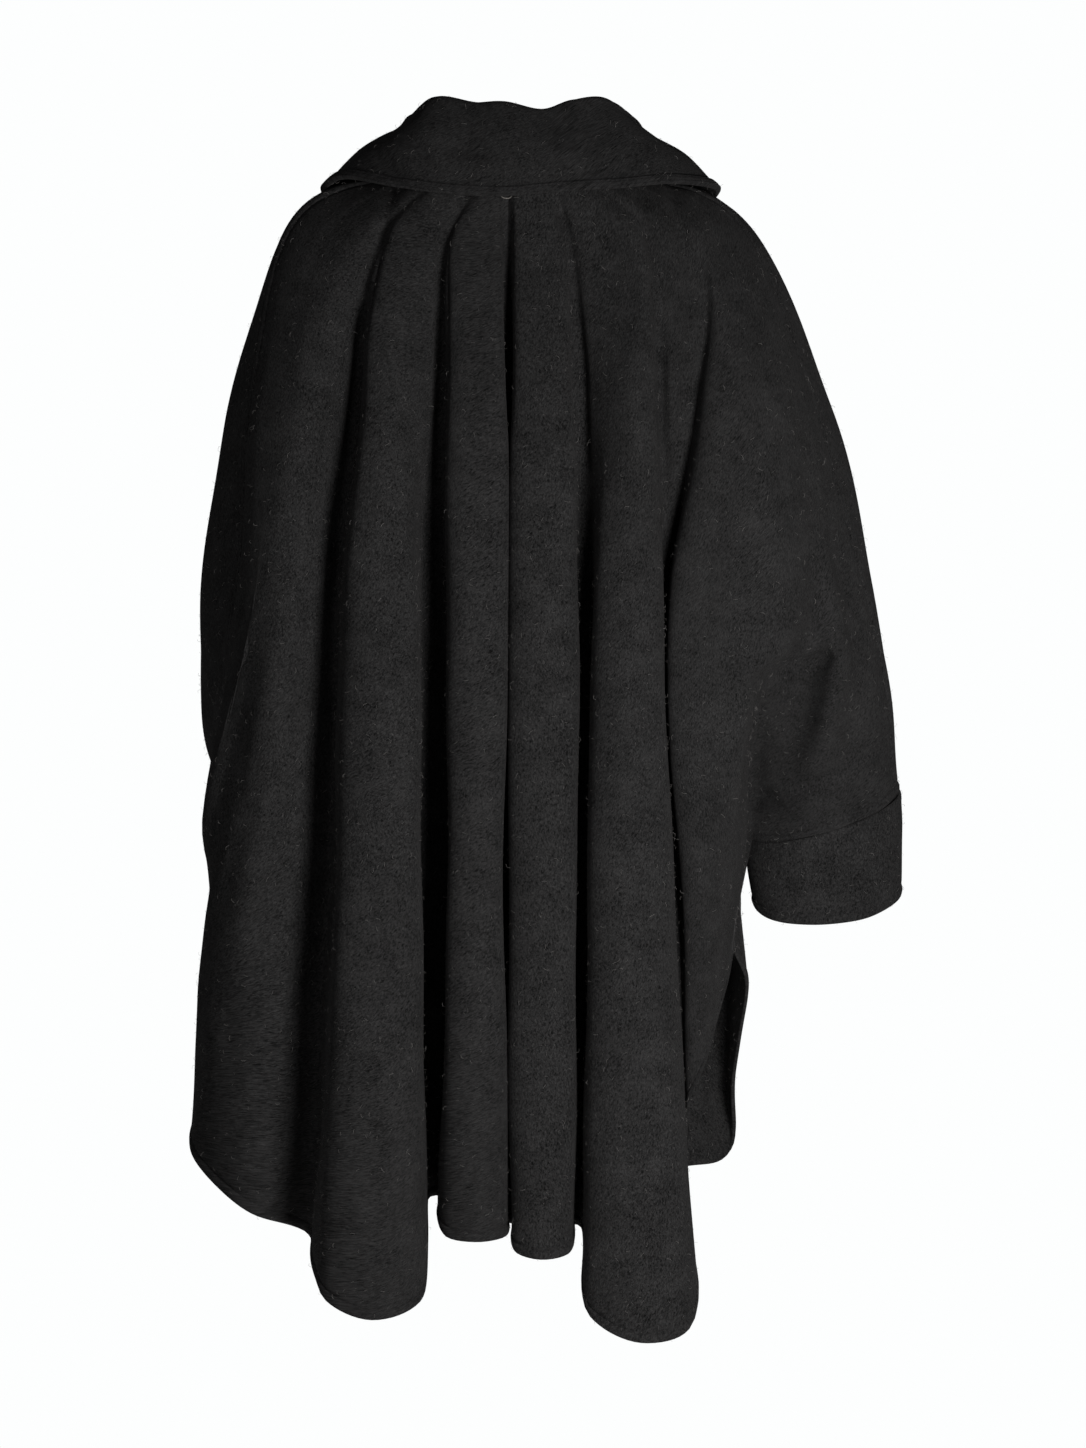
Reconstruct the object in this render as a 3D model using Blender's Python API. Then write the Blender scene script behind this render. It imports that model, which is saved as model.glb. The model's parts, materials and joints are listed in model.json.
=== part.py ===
"""A wool cape coat, worn shape, seen hollow: two backs, two fronts, a fold-over collar and two cuffs.

Sizes are in millimetres until a mesh is made, which is in metres. +Z is up, the back of the coat
faces -Y and +X is the wearer's right. The origin is the middle of the neck opening at shoulder level.

Each panel is cut in one with its half of the sleeve. Its cloth runs down from the neckline along
guide lines, one row of a table for each: the edges and floors of the folds, the sleeve and the free
edge. A guide line is given where it passes seven levels of the body, and smooth curves join the guide
lines across and down.
"""
import math
from collections import namedtuple

import bmesh
import bpy
import numpy as np

MM = 0.001

# Cloth: a panel, the doubled collar, and the thicker band round the collar's edge
WALL = 2.5
COLLAR_WALL = 4.0
BAND_WALL = 6.2
BAND_WIDTH = 8.0

# The solids stand this far apart along a seam, and further at a cuff's inner corner, where four of them
# meet: there the panels stop short, and the cuff's columns turn away by some degrees
SEAM_GAP = 0.3
CORNER_GAP = 9.0
CORNER_TURN = 2

# Neckline: an ellipse round the neck, high at the sides and low at the front
NECK_X = -8.0
NECK_HALF_WIDTH = 78.0
NECK_HALF_DEPTH = 72.0
NECK_BACK_Z = 14.0
NECK_SIDE_RISE = 24.0
NECK_FRONT_DROP = 15.0

# Heights of the levels that a two-number cell of the tables lies on
BLADE_Z = -180.0
ELBOW_Z = -335.0
FOREARM_Z = -450.0
THIGH_Z = -570.0

# Rows of mesh between one level and the next, from the neckline to the hem
LEVEL_ROWS = (3, 3, 3, 2, 3, 5)
CUFF_ROWS = 3

# A cuff's two ends: middle, half width towards the outer side, half depth towards the back
CuffEnd = namedtuple("CuffEnd", "centre side back")
RIGHT_CUFF = (
    CuffEnd((256, 42, -537), (67, 0, 19), (0, -46, -17)),
    CuffEnd((260, 62, -612), (63, 0, 5), (0, -46, -22)),
)
LEFT_CUFF = (
    CuffEnd((-212, 126, -512), (-61, 3, -5), (0, -42, -26)),
    CuffEnd((-198, 174, -578), (-58, 3, -5), (0, -40, -25)),
)

# One guide line. neck is an angle round the neckline in degrees, 0 at the back and 90 at the wearer's
# right, or a point. end is an angle round the cuff, 0 at the outer side and 90 at the back, or a point.
# The cells between hold (x, y) at the level's height or (x, y, z), or None where the line runs straight
# on. steps is the number of mesh columns from this line to the next.
Guide = namedtuple("Guide", "name neck yoke blade elbow forearm thigh end steps")

SEAM_LEFT = Guide("seam", -88, (-196, -10, -8), (-242, -58), (-254, -66), (-266, -30, -452),
                  (-274, 64, -508), 0, 2)
SEAM_RIGHT = Guide("seam", 88, (172, -14, -12), (246, -35), (290, -30), (311, 0, -430),
                   (319, 24, -484), 0, 2)

BACK_LEFT = (
    SEAM_LEFT,
    Guide("sleeve outer", -84, (-193, -19, -14), (-236, -74), (-251, -82, -345), (-270, -38, -480),
          (-266, 64, -514), 45, 2),
    Guide("sleeve under", -80, (-190, -28, -20), (-230, -86), (-246, -96, -358), (-274, -36, -520),
          (-218, 42, -522), 100, 2),
    Guide("cuff corner", -76, (-186, -37, -26), (-223, -95), (-240, -106, -370), (-278, -38, -556),
          (-190, 52, -538), 148, 2),
    Guide("side seam end", -72, (-181, -45, -31), (-216, -101), (-232, -113), (-278, -48, -576),
          (-218, 24, -602), (-136, 76, -602), 2),
    Guide("free edge high", -68, (-176, -51, -36), (-208, -106), (-225, -119), (-276, -62, -582),
          (-256, 10, -664), (-186, 76, -690), 2),
    Guide("free edge low", -64, (-171, -57, -40), (-200, -110), (-217, -123), (-264, -96, -560),
          (-284, -22, -688), (-252, 62, -764), 2),
    Guide("A edge", -60, (-165, -62, -43), (-191, -111), (-208, -125), (-244, -122, -520),
          (-282, -72, -680), (-293, -14, -812), 2),
    Guide("A face", -56, (-158, -67, -45), (-181, -109), (-198, -123), (-220, -130, -490),
          (-250, -122, -640), (-282, -86, -846), 2),
    Guide("A flank", -52, (-148, -70, -46), (-169, -101), (-184, -112), (-196, -119, -465),
          (-208, -124, -600), (-240, -128, -878), 2),
    Guide("A|B floor", -48, (-134, -69, -45), (-150, -83), (-165, -92), None, (-171, -95),
          (-192, -108, -896), 1),
    Guide("B left", -43, (-127, -78, -45), (-140, -120), (-153, -152), None, (-159, -174),
          (-175, -206, -948), 2),
    Guide("B middle", -37, (-110, -81, -45), (-124, -126), (-130, -160), None, (-128, -186),
          (-134, -220, -964), 2),
    Guide("B right", -31, (-92, -79, -45), (-107, -118), (-105, -150), None, (-97, -174),
          (-94, -206, -950), 2),
    Guide("B|C floor left", -27, (-78, -72, -45), (-84, -90), (-90, -96), None, (-93, -100),
          (-88, -112, -866), 1),
    Guide("B|C floor right", -24, (-72, -70, -45), (-74, -85), (-72, -95), None, (-71, -99),
          (-76, -112, -864), 1),
    Guide("C left", -20, (-68, -78, -45), (-68, -116), (-66, -143), None, (-67, -162),
          (-73, -188, -895), 2),
    Guide("C middle", -15, (-46, -81, -45), (-44, -122), (-44, -150), None, (-45, -171),
          (-45, -200, -899), 2),
    Guide("C right", -11, (-26, -79, -45), (-23, -116), (-23, -142), None, (-25, -160),
          (-22, -186, -896), 1),
    Guide("C|D floor left", -9.5, (-23, -72, -45), (-22, -88), (-22, -100), None, (-25, -108),
          (-21, -122, -888), 1),
    Guide("centre back", -8, (-19, -70, -45), (-18, -84), (-18, -96), None, (-21, -104),
          (-17, -118, -887), 0),
)

BACK_RIGHT = (
    BACK_LEFT[-1]._replace(steps=1),
    Guide("C|D floor right", -6.5, (-15, -72, -45), (-14, -88), (-14, -100), None, (-17, -108),
          (-13, -122, -888), 1),
    Guide("D left", -5, (-12, -79, -45), (-13, -116), (-13, -142), None, (-16, -160),
          (-12, -188, -909), 2),
    Guide("D middle", 1, (8, -82, -45), (10, -122), (12, -150), None, (11, -171),
          (10, -200, -914), 2),
    Guide("D right", 7, (27, -79, -45), (31, -117), (36, -142), None, (36, -160),
          (33, -188, -910), 1),
    Guide("D|E floor left", 11, (32, -71, -45), (37, -87), (41, -97), None, (41, -101),
          (38, -113, -888), 1),
    Guide("D|E floor right", 15, (50, -74, -45), (50, -96), (54, -101), None, (50, -103),
          (45, -115, -892), 1),
    Guide("E left", 22, (78, -79, -45), (74, -119), (60, -150), None, (55, -176),
          (51, -206, -962), 2),
    Guide("E middle", 27, (89, -82, -45), (89, -126), (85, -162), None, (87, -190),
          (93, -223, -983), 2),
    Guide("E right", 31, (98, -79, -45), (103, -118), (108, -150), None, (115, -176),
          (136, -208, -972), 1),
    Guide("E|F floor left", 35, (108, -73, -46), (110, -96), (113, -104), None, (119, -106),
          (131, -124, -872), 1),
    Guide("G", 40, (126, -74, -46), (131, -95), (117, -99), None, (123, -101),
          (133, -115, -838), 1),
    Guide("E|F floor right", 46, (141, -66, -46), (145, -86), (121, -97), None, (127, -100),
          (137, -110, -802), 1),
    Guide("wing left", 51, (147, -65, -44), (153, -110), (125, -136), (119, -138), (130, -128),
          (139, -118, -777), 2),
    Guide("wing face", 56, (151, -61, -40), (170, -115), (144, -142), (136, -142), (146, -132),
          (151, -112, -742), 2),
    Guide("wing middle", 61, (155, -56, -36), (188, -106), (170, -126), (156, -136), (163, -120),
          (163, -96, -704), 2),
    Guide("wing side", 66, (158, -50, -32), (203, -104), (200, -118), (176, -130), (177, -96),
          (171, -62, -672), 2),
    Guide("side seam end", 71, (162, -43, -27), (217, -98), (225, -110, -362), (192, -106, -440),
          (185, -48), (176, 4, -641), 2),
    Guide("cuff corner", 76, (165, -35, -22), (228, -80), (240, -86, -370), (202, -46, -438),
          (191, 0, -505), 160, 2),
    Guide("forearm inner", 80, (167, -29, -19), (234, -69), (252, -84, -362), (236, -36, -440),
          (224, -10, -500), 135, 2),
    Guide("elbow ridge", 83, (169, -24, -16), (238, -58), (263, -78, -366), (263, -60, -440),
          (252, -26, -498), 90, 2),
    Guide("forearm outer", 86, (171, -18, -14), (242, -46), (278, -56), (294, -36, -436),
          (297, -8, -490), 45, 2),
    SEAM_RIGHT._replace(steps=0),
)

FRONT_LEFT = (
    SEAM_LEFT,
    Guide("sleeve outer", -95, (-192, 8, -9), (-261, -6), (-285, 2), (-287, 40, -436),
          (-278, 92, -492), -45, 2),
    Guide("sleeve over", -103, (-184, 27, -14), (-254, 48), (-277, 62), (-270, 94, -416),
          (-250, 128, -456), -90, 2),
    Guide("sleeve inner", -110, (-172, 43, -20), (-232, 86), (-247, 110), (-226, 128, -412),
          (-204, 144, -454), -126, 2),
    Guide("cuff corner", -117, (-157, 56, -27), (-206, 104), (-208, 124), (-186, 132, -412),
          (-170, 140, -450), -158, 1),
    Guide("underarm", -120, (-150, 60, -30), (-196, 108), (-197, 127), (-170, 132, -416),
          (-146, 130, -472), (-134, 112, -540), 1),
    Guide("side seam end", -123, (-143, 65, -34), (-186, 112), (-186, 130), (-150, 131, -426),
          (-122, 114, -488), (-128, 86, -600), 2),
    Guide("free edge high", -128, (-130, 71, -40), (-168, 116), (-168, 132), (-140, 132, -436),
          (-114, 120, -530), (-132, 102, -680), 2),
    Guide("free edge low", -133, (-118, 75, -44), (-152, 119), (-150, 133), (-128, 136), (-111, 136),
          (-140, 132, -770), 2),
    Guide("side fold", -138, (-105, 78, -48), (-134, 121), (-132, 142), None, (-108, 154),
          (-130, 162, -836), 2),
    Guide("side floor", -143, (-92, 80, -51), (-112, 112), (-112, 118), None, (-92, 124),
          (-102, 130, -846), 2),
    Guide("middle fold", -149, (-76, 84, -54), (-90, 128), (-92, 150), None, (-88, 168),
          (-94, 186, -856), 2),
    Guide("middle floor", -155, (-60, 83, -57), (-68, 118), (-71, 128), None, (-69, 134),
          (-71, 142, -852), 2),
    Guide("lap start", -163, (-44, 84, -59), (-47, 119), (-48, 135), None, (-48, 145),
          (-48, 155, -853), 2),
    Guide("centre front", (-12, 67, -17), (-14, 83, -61), (-10, 119), (-8, 135), None, (-8, 145),
          (-8, 155, -853), 1),
    Guide("front edge", (6, 67, -16), (14, 83, -61), (24, 119), (27, 135), None, (27, 145),
          (27, 155, -853), 0),
)

FRONT_RIGHT = (
    SEAM_RIGHT,
    Guide("sleeve outer", 95, (176, 6, -11), (262, 4), (296, 8), (308, 34, -428),
          (314, 58, -480), -45, 2),
    Guide("sleeve over", 103, (170, 26, -15), (250, 50), (281, 62), (284, 86, -424),
          (276, 96, -476), -90, 2),
    Guide("sleeve inner", 110, (158, 43, -21), (226, 84), (248, 98), (246, 112, -424),
          (234, 100, -484), -122, 2),
    Guide("cuff corner", 117, (144, 56, -27), (200, 102), (216, 120), (212, 116, -436),
          (190, 88, -490), -160, 1),
    Guide("underarm", 120, (137, 60, -30), (190, 107), (206, 125), (200, 117, -443),
          (176, 86, -520), (175, 52, -574), 1),
    Guide("side seam end", 123, (130, 65, -34), (180, 111), (196, 130), (190, 116, -450),
          (170, 78, -556), (176, 14, -641), 2),
    Guide("free edge high", 128, (118, 71, -40), (162, 116), (180, 134), (182, 130), (180, 104),
          (189, 60, -694), 2),
    Guide("free edge low", 133, (106, 75, -44), (146, 119), (166, 138), None, (184, 130),
          (180, 108, -770), 2),
    Guide("side fold", 138, (93, 78, -48), (130, 124), (150, 146), None, (168, 152),
          (174, 152, -842), 2),
    Guide("side floor", 143, (80, 80, -51), (108, 112), (122, 118), None, (132, 120),
          (138, 124, -850), 2),
    Guide("middle fold", 149, (64, 84, -54), (84, 129), (92, 151), None, (98, 168),
          (102, 184, -858), 2),
    Guide("middle floor", 155, (48, 85, -57), (62, 120), (68, 129), None, (68, 136),
          (67, 144, -854), 2),
    Guide("lap start", 163, (30, 88.9, -59), (34, 124.9), (36, 140.9), None, (36, 150.9),
          (36, 160.9, -856), 2),
    Guide("centre front", 176, (-2, 88.9, -61), (-6, 124.9), (-8, 140.9), None, (-8, 150.9),
          (-8, 160.9, -856), 1),
    Guide("front edge", 187, (-30, 88.9, -61), (-40, 124.9), (-43, 140.9), None, (-43, 150.9),
          (-43, 160.9, -856), 0),
)

# The collar, from one front end round the back to the other: its roll line and its lower edge at
# angles round the neckline. steps is the number of mesh columns to the next row.
CollarRow = namedtuple("CollarRow", "angle roll edge steps")
COLLAR = (
    CollarRow(-163, (-42, 92, -4), (-58, 112, -78), 2),
    CollarRow(-140, (-74, 76, 20), (-112, 104, -58), 2),
    CollarRow(-112, (-94, 40, 48), (-164, 62, -14), 2),
    CollarRow(-90, (-104, 2, 66), (-181, 14, 5), 2),
    CollarRow(-70, (-99, -34, 68), (-160, -42, 13), 3),
    CollarRow(-45, (-81, -60, 81), (-112, -82, 3), 3),
    CollarRow(-24, (-48, -70, 75), (-66, -95, -3), 3),
    CollarRow(-6, (-22, -74, 76), (-22, -99, -5), 3),
    CollarRow(12, (11, -74, 71), (28, -98, -1), 3),
    CollarRow(30, (36, -68, 80), (78, -90, 2), 3),
    CollarRow(48, (62, -56, 82), (122, -70, 7), 3),
    CollarRow(68, (86, -34, 66), (150, -40, 7), 2),
    CollarRow(90, (92, 4, 60), (165, 6, 5), 2),
    CollarRow(112, (84, 42, 44), (146, 62, -14), 2),
    CollarRow(140, (60, 76, 18), (96, 104, -60), 2),
    CollarRow(163, (30, 92, -6), (44, 114, -80), 0),
)
# How the collar turns over at its roll line, and how far the leaf below bulges
ROLL_RADIUS = 8.0
ROLL_DROP = 9.0
LEAF_BULGE = 5.0
# Its foot stands clear of the neckline by the first of these, and by more at the sides and the front
STAND_LIFT = 1.6
SIDE_LIFT = 2.0
FRONT_LIFT = 3.0
# The wall thickens to the edge band over this length
BAND_STEP = 1.0
COLLAR_ROWS = (1, 1, 2, 2, 2, 1, 1, 1)

# Guide lines that lie on a seam
SEWN_LINES = ("seam", "centre back")
# Where a panel meets its cuff, the cuff's own normal counts this many times, so the cuff stays round
CUFF_WEIGHT = 50
SHARP_ANGLE = math.radians(50)
FULL_TURN = 360

# Each panel with its cuff, and 1 where its columns by its rows point out of the cloth, or else -1
PANELS = (
    ("back_left", BACK_LEFT, LEFT_CUFF, -1),
    ("back_right", BACK_RIGHT, RIGHT_CUFF, -1),
    ("front_left", FRONT_LEFT, LEFT_CUFF, 1),
    ("front_right", FRONT_RIGHT, RIGHT_CUFF, -1),
)
CUFFS = (
    ("cuff_left", LEFT_CUFF, BACK_LEFT, FRONT_LEFT, -1),
    ("cuff_right", RIGHT_CUFF, BACK_RIGHT, FRONT_RIGHT, 1),
)

WOOL_COLOURS = {
    "back_left": (0.0110, 0.0105, 0.0105),
    "back_right": (0.0110, 0.0105, 0.0105),
    "front_left": (0.0100, 0.0096, 0.0096),
    "front_right": (0.0100, 0.0096, 0.0096),
    "collar": (0.0120, 0.0114, 0.0114),
    "cuff_left": (0.0106, 0.0100, 0.0100),
    "cuff_right": (0.0106, 0.0100, 0.0100),
}
WOOL_ROUGHNESS = 0.95


def remove_old_objects():
    for obj in list(bpy.data.objects):
        bpy.data.objects.remove(obj, do_unlink=True)


def curve(points, steps):
    """Points on a smooth curve through the given ones, steps[i] of them from point i to the next."""
    points = np.asarray(points, dtype=float)
    spacing = np.sqrt(np.linalg.norm(np.diff(points, axis=0), axis=1)) + 1e-6
    knots = np.concatenate([[0.0], np.cumsum(spacing)])
    tangents = np.gradient(points, knots, axis=0)
    found = []
    for i, count in enumerate(steps):
        for k in range(count):
            s = k / count
            found.append(
                (1 + 2 * s) * (1 - s) ** 2 * points[i]
                + s * (1 - s) ** 2 * spacing[i] * tangents[i]
                + s * s * (3 - 2 * s) * points[i + 1]
                + s * s * (s - 1) * spacing[i] * tangents[i + 1]
            )
    found.append(points[-1])
    return np.array(found)


def unit(vectors):
    return vectors / np.maximum(np.linalg.norm(vectors, axis=-1, keepdims=True), 1e-9)


def neck_point(degrees):
    turn = math.radians(degrees)
    rise = NECK_SIDE_RISE * math.sin(turn) ** 2 - NECK_FRONT_DROP * (1 - math.cos(turn))
    return (NECK_X + NECK_HALF_WIDTH * math.sin(turn), -NECK_HALF_DEPTH * math.cos(turn), NECK_BACK_Z + rise)


def cuff_point(cuff_end, degrees):
    turn = math.radians(degrees)
    centre, side, back = (np.array(v, dtype=float) for v in cuff_end)
    return centre + side * math.cos(turn) + back * math.sin(turn)


def is_angle(cell):
    return isinstance(cell, (int, float))


def guide_points(guide, cuff):
    """The seven points of a guide line, from the neckline to its end."""
    neck = neck_point(guide.neck) if is_angle(guide.neck) else guide.neck
    end = cuff_point(cuff[0], guide.end) if is_angle(guide.end) else guide.end
    cells = (guide.blade, guide.elbow, guide.forearm, guide.thigh)
    points = [np.array(neck, dtype=float), np.array(guide.yoke, dtype=float)]
    for cell, level in zip(cells, (BLADE_Z, ELBOW_Z, FOREARM_Z, THIGH_Z)):
        if cell is None:
            points.append(None)
        else:
            points.append(np.array(cell if len(cell) == 3 else (*cell, level), dtype=float))
    points.append(np.array(end, dtype=float))
    for i, point in enumerate(points):
        if point is None:
            above, below = points[i - 1], points[i + 1]
            share = (above[2] - FOREARM_Z) / (above[2] - below[2])
            points[i] = above + (below - above) * share
    return points


def cuff_columns(guides):
    """The angle round the cuff at which each of a panel's columns meets it, for those that do."""
    angles = {}
    at = 0
    for here, after in zip(guides, guides[1:]):
        if is_angle(here.end) and is_angle(after.end):
            for k in range(here.steps + 1):
                angles[at + k] = here.end + (after.end - here.end) * k / here.steps
        at += here.steps
    return angles


def end_line(guides, cuff, smooth):
    """The panel's lower edge: round the cuff, straight down the side seam and smooth along the hem."""
    line = smooth.copy()
    at = 0
    for here, after in zip(guides, guides[1:]):
        if is_angle(here.end) != is_angle(after.end):
            for k in range(here.steps):
                line[at + k] = smooth[at] + (smooth[at + here.steps] - smooth[at]) * k / here.steps
        at += here.steps
    for column, degrees in cuff_columns(guides).items():
        line[column] = cuff_point(cuff[0], degrees)
    return line


def panel_grid(guides, cuff):
    """The middle of a panel's wall, as columns of points from the neckline down."""
    net = np.array([guide_points(guide, cuff) for guide in guides])
    steps = [guide.steps for guide in guides[:-1]]
    levels = [curve(net[:, level], steps) for level in range(net.shape[1])]
    levels[-1] = end_line(guides, cuff, levels[-1])
    columns = np.stack(levels, axis=1)
    return np.array([curve(column, LEVEL_ROWS) for column in columns])


def grid_normals(grid, facing, closed=False):
    """A unit vector out of the cloth at each point. facing is 1 or -1 for the way the columns run."""
    padded = np.concatenate([grid[-1:], grid, grid[:1]]) if closed else grid
    normals = unit(np.cross(bisector(padded, 0), bisector(padded, 1))) * facing
    return normals[1:-1] if closed else normals


def bisector(grid, axis):
    """The mean direction of the two edges that meet at each point along an axis of the grid."""
    lines = np.moveaxis(grid, axis, 0)
    ways = unit(np.diff(lines, axis=0))
    both = np.concatenate([ways[:1], ways[:-1] + ways[1:], ways[-1:]])
    return np.moveaxis(unit(both), 0, axis)


def point_key(point):
    return tuple(np.round(point, 2))


def share_normals(sheets):
    """Where sheets meet along a seam, they take the mean of their normals there, by their weights."""
    sums = {}
    for grid, normals, weight in sheets:
        for point, normal in zip(grid.reshape(-1, 3), normals.reshape(-1, 3)):
            key = point_key(point)
            sums[key] = sums.get(key, 0) + normal * weight
    for grid, normals, _ in sheets:
        for index in np.ndindex(grid.shape[:2]):
            normals[index] = unit(sums[point_key(grid[index])])


def pull_back(grid, guides):
    """Moves a panel's sewn edges into it by half a seam gap: its first and last columns where they are
    seams, and its end at the cuff. The corner between cuff and side seam moves by the corner gap."""
    moved = grid.copy()
    for edge, inner, guide in ((0, 1, guides[0]), (-1, -2, guides[-1])):
        if guide.name in SEWN_LINES:
            moved[edge] += unit(grid[inner] - grid[edge]) * SEAM_GAP / 2
    angles = cuff_columns(guides)
    corner = max(angles, key=lambda column: abs(angles[column]))
    for column in angles:
        gap = CORNER_GAP if column == corner else SEAM_GAP / 2
        moved[column, -1] += unit(grid[column, -2] - grid[column, -1]) * gap
    return moved


def cuff_grid(cuff, back_guides, front_guides):
    """The middle of a cuff's wall, with its columns from the outer seam over the back and round."""
    back_half = sorted(cuff_columns(back_guides).values())
    front_half = sorted(angle + FULL_TURN for angle in cuff_columns(front_guides).values())
    corners = [back_half[-1] + CORNER_TURN, front_half[0] - CORNER_TURN]
    columns = []
    for degrees in back_half[:-1] + corners + front_half[1:-1]:
        first, last = (cuff_point(end, degrees) for end in cuff)
        columns.append([first + (last - first) * r / CUFF_ROWS for r in range(CUFF_ROWS + 1)])
    return np.array(columns)


def collar_section(row):
    """The collar's wall at one angle: up the stand, over the roll line and down the leaf to its edge."""
    turn = math.radians(row.angle)
    up = np.array((0.0, 0.0, 1.0))
    lift = STAND_LIFT + SIDE_LIFT * abs(math.sin(turn)) + FRONT_LIFT * (1 - math.cos(turn)) / 2
    foot = np.array(neck_point(row.angle)) + up * lift
    roll = np.array(row.roll, dtype=float)
    edge = np.array(row.edge, dtype=float)
    fall = edge - roll
    outward = unit(fall * (1, 1, 0))
    leaf_out = unit(np.cross(np.cross(fall, up), fall))
    inner_roll = roll - outward * ROLL_RADIUS - up * ROLL_DROP
    outer_roll = roll + outward * ROLL_RADIUS - up * ROLL_DROP
    stand = foot + (inner_roll - foot) / 2
    leaf = (outer_roll + edge) / 2 + leaf_out * LEAF_BULGE
    up_leaf = unit(leaf - edge)
    above_band = edge + up_leaf * (BAND_WIDTH + BAND_STEP)
    return [foot, stand, inner_roll, roll, outer_roll, leaf, above_band, edge + up_leaf * BAND_WIDTH, edge]


def collar_grid():
    net = np.array([collar_section(row) for row in COLLAR])
    steps = [row.steps for row in COLLAR[:-1]]
    lines = np.stack([curve(net[:, line], steps) for line in range(net.shape[1])], axis=1)
    return np.array([curve(line, COLLAR_ROWS) for line in lines])


def sheet_mesh(name, grid, normals, outer, inner, closed=False):
    """A closed wall: outer and inner hold its half thickness at each row."""
    outside = grid + normals * np.asarray(outer)[None, :, None]
    inside = grid - normals * np.asarray(inner)[None, :, None]
    count, rows = grid.shape[:2]
    shape = bmesh.new()
    out, into = ([[shape.verts.new(point * MM) for point in column] for column in skin]
                 for skin in (outside, inside))
    for i in range(count if closed else count - 1):
        j = (i + 1) % count
        for r in range(rows - 1):
            shape.faces.new((out[i][r], out[i][r + 1], out[j][r + 1], out[j][r]))
            shape.faces.new((into[i][r], into[j][r], into[j][r + 1], into[i][r + 1]))
        for r in (0, rows - 1):
            shape.faces.new((out[i][r], out[j][r], into[j][r], into[i][r]))
    for i in () if closed else (0, count - 1):
        for r in range(rows - 1):
            shape.faces.new((out[i][r], out[i][r + 1], into[i][r + 1], into[i][r]))
    bmesh.ops.recalc_face_normals(shape, faces=shape.faces)
    mesh = bpy.data.meshes.new(name)
    shape.to_mesh(mesh)
    shape.free()
    mesh.shade_smooth()
    mesh.set_sharp_from_angle(angle=SHARP_ANGLE)
    mesh.materials.append(wool_material(name))
    obj = bpy.data.objects.new(name, mesh)
    bpy.context.scene.collection.objects.link(obj)


def wool_material(name):
    material = bpy.data.materials.new(name + "_wool")
    material.use_nodes = True
    shader = material.node_tree.nodes["Principled BSDF"]
    shader.inputs["Base Color"].default_value = (*WOOL_COLOURS[name], 1.0)
    shader.inputs["Roughness"].default_value = WOOL_ROUGHNESS
    shader.inputs["Metallic"].default_value = 0.0
    return material


def make_panels_and_cuffs():
    grids = {name: panel_grid(guides, cuff) for name, guides, cuff, _ in PANELS}
    normals = {name: grid_normals(grids[name], facing) for name, _, _, facing in PANELS}
    for name, cuff, back, front, facing in CUFFS:
        grids[name] = cuff_grid(cuff, back, front)
        normals[name] = grid_normals(grids[name], facing, closed=True)
    share_normals([(grids[name], normals[name], CUFF_WEIGHT if "cuff" in name else 1) for name in grids])
    for name, guides, _, _ in PANELS:
        half = [WALL / 2] * grids[name].shape[1]
        sheet_mesh(name, pull_back(grids[name], guides), normals[name], half, half)
    for name, *_ in CUFFS:
        grid = grids[name]
        grid[:, 0] += unit(grid[:, 1] - grid[:, 0]) * SEAM_GAP / 2
        half = [WALL / 2] * grid.shape[1]
        sheet_mesh(name, grid, normals[name], half, half, closed=True)


def make_collar():
    grid = collar_grid()
    inner = [COLLAR_WALL / 2] * grid.shape[1]
    outer = inner[:-2] + [BAND_WALL - COLLAR_WALL / 2] * 2
    sheet_mesh("collar", grid, grid_normals(grid, -1), outer, inner)


def main():
    remove_old_objects()
    make_panels_and_cuffs()
    make_collar()


main()
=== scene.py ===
"""The wool cape coat's visual layer: fine cloth on the CAD's forms, its creases, stitches, nap and stage.

Each panel, cuff and the collar is rebuilt from the tables of fold lines that its CAD node was made
from, more finely, as a thin shell with its own UV map. +Z is up, the coat's back faces -Y and +X is the
wearer's right. The tables are in millimetres, and meshes and settings are in metres.
"""

import json
import math
from collections import namedtuple

import bmesh
import bpy
import numpy as np
from bpy.props import FloatProperty, IntProperty, PointerProperty
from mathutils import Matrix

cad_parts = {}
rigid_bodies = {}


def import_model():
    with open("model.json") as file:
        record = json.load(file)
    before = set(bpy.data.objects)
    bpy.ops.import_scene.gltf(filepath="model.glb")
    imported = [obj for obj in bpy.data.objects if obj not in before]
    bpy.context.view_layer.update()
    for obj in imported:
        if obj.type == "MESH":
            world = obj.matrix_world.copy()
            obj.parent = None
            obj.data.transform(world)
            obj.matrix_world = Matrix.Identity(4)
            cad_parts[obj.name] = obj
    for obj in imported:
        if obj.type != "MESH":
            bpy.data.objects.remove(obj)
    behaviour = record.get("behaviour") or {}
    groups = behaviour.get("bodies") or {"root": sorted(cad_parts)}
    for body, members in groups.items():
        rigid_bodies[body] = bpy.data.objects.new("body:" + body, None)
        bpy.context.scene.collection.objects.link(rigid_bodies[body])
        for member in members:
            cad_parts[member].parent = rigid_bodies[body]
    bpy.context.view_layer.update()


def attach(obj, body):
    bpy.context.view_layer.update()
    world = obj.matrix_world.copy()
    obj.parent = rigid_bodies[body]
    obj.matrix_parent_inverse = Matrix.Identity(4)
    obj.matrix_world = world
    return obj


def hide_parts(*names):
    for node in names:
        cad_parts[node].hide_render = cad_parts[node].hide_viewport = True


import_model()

bl_info = {
    "name": "Wool Cape Coat",
    "version": (1, 0, 0),
    "blender": (4, 5, 0),
    "location": "View3D > Sidebar > Coat",
    "description": "Adds the cloth, creases, stitches and stage of a wool cape coat to its CAD frame",
    "category": "Object",
}

MM = 0.001
# Cloth: a panel, the doubled collar, and the thicker band round the collar's edge
WALL = 2.5
COLLAR_WALL = 4.0
BAND_WALL = 6.2
BAND_WIDTH = 8.0

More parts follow.
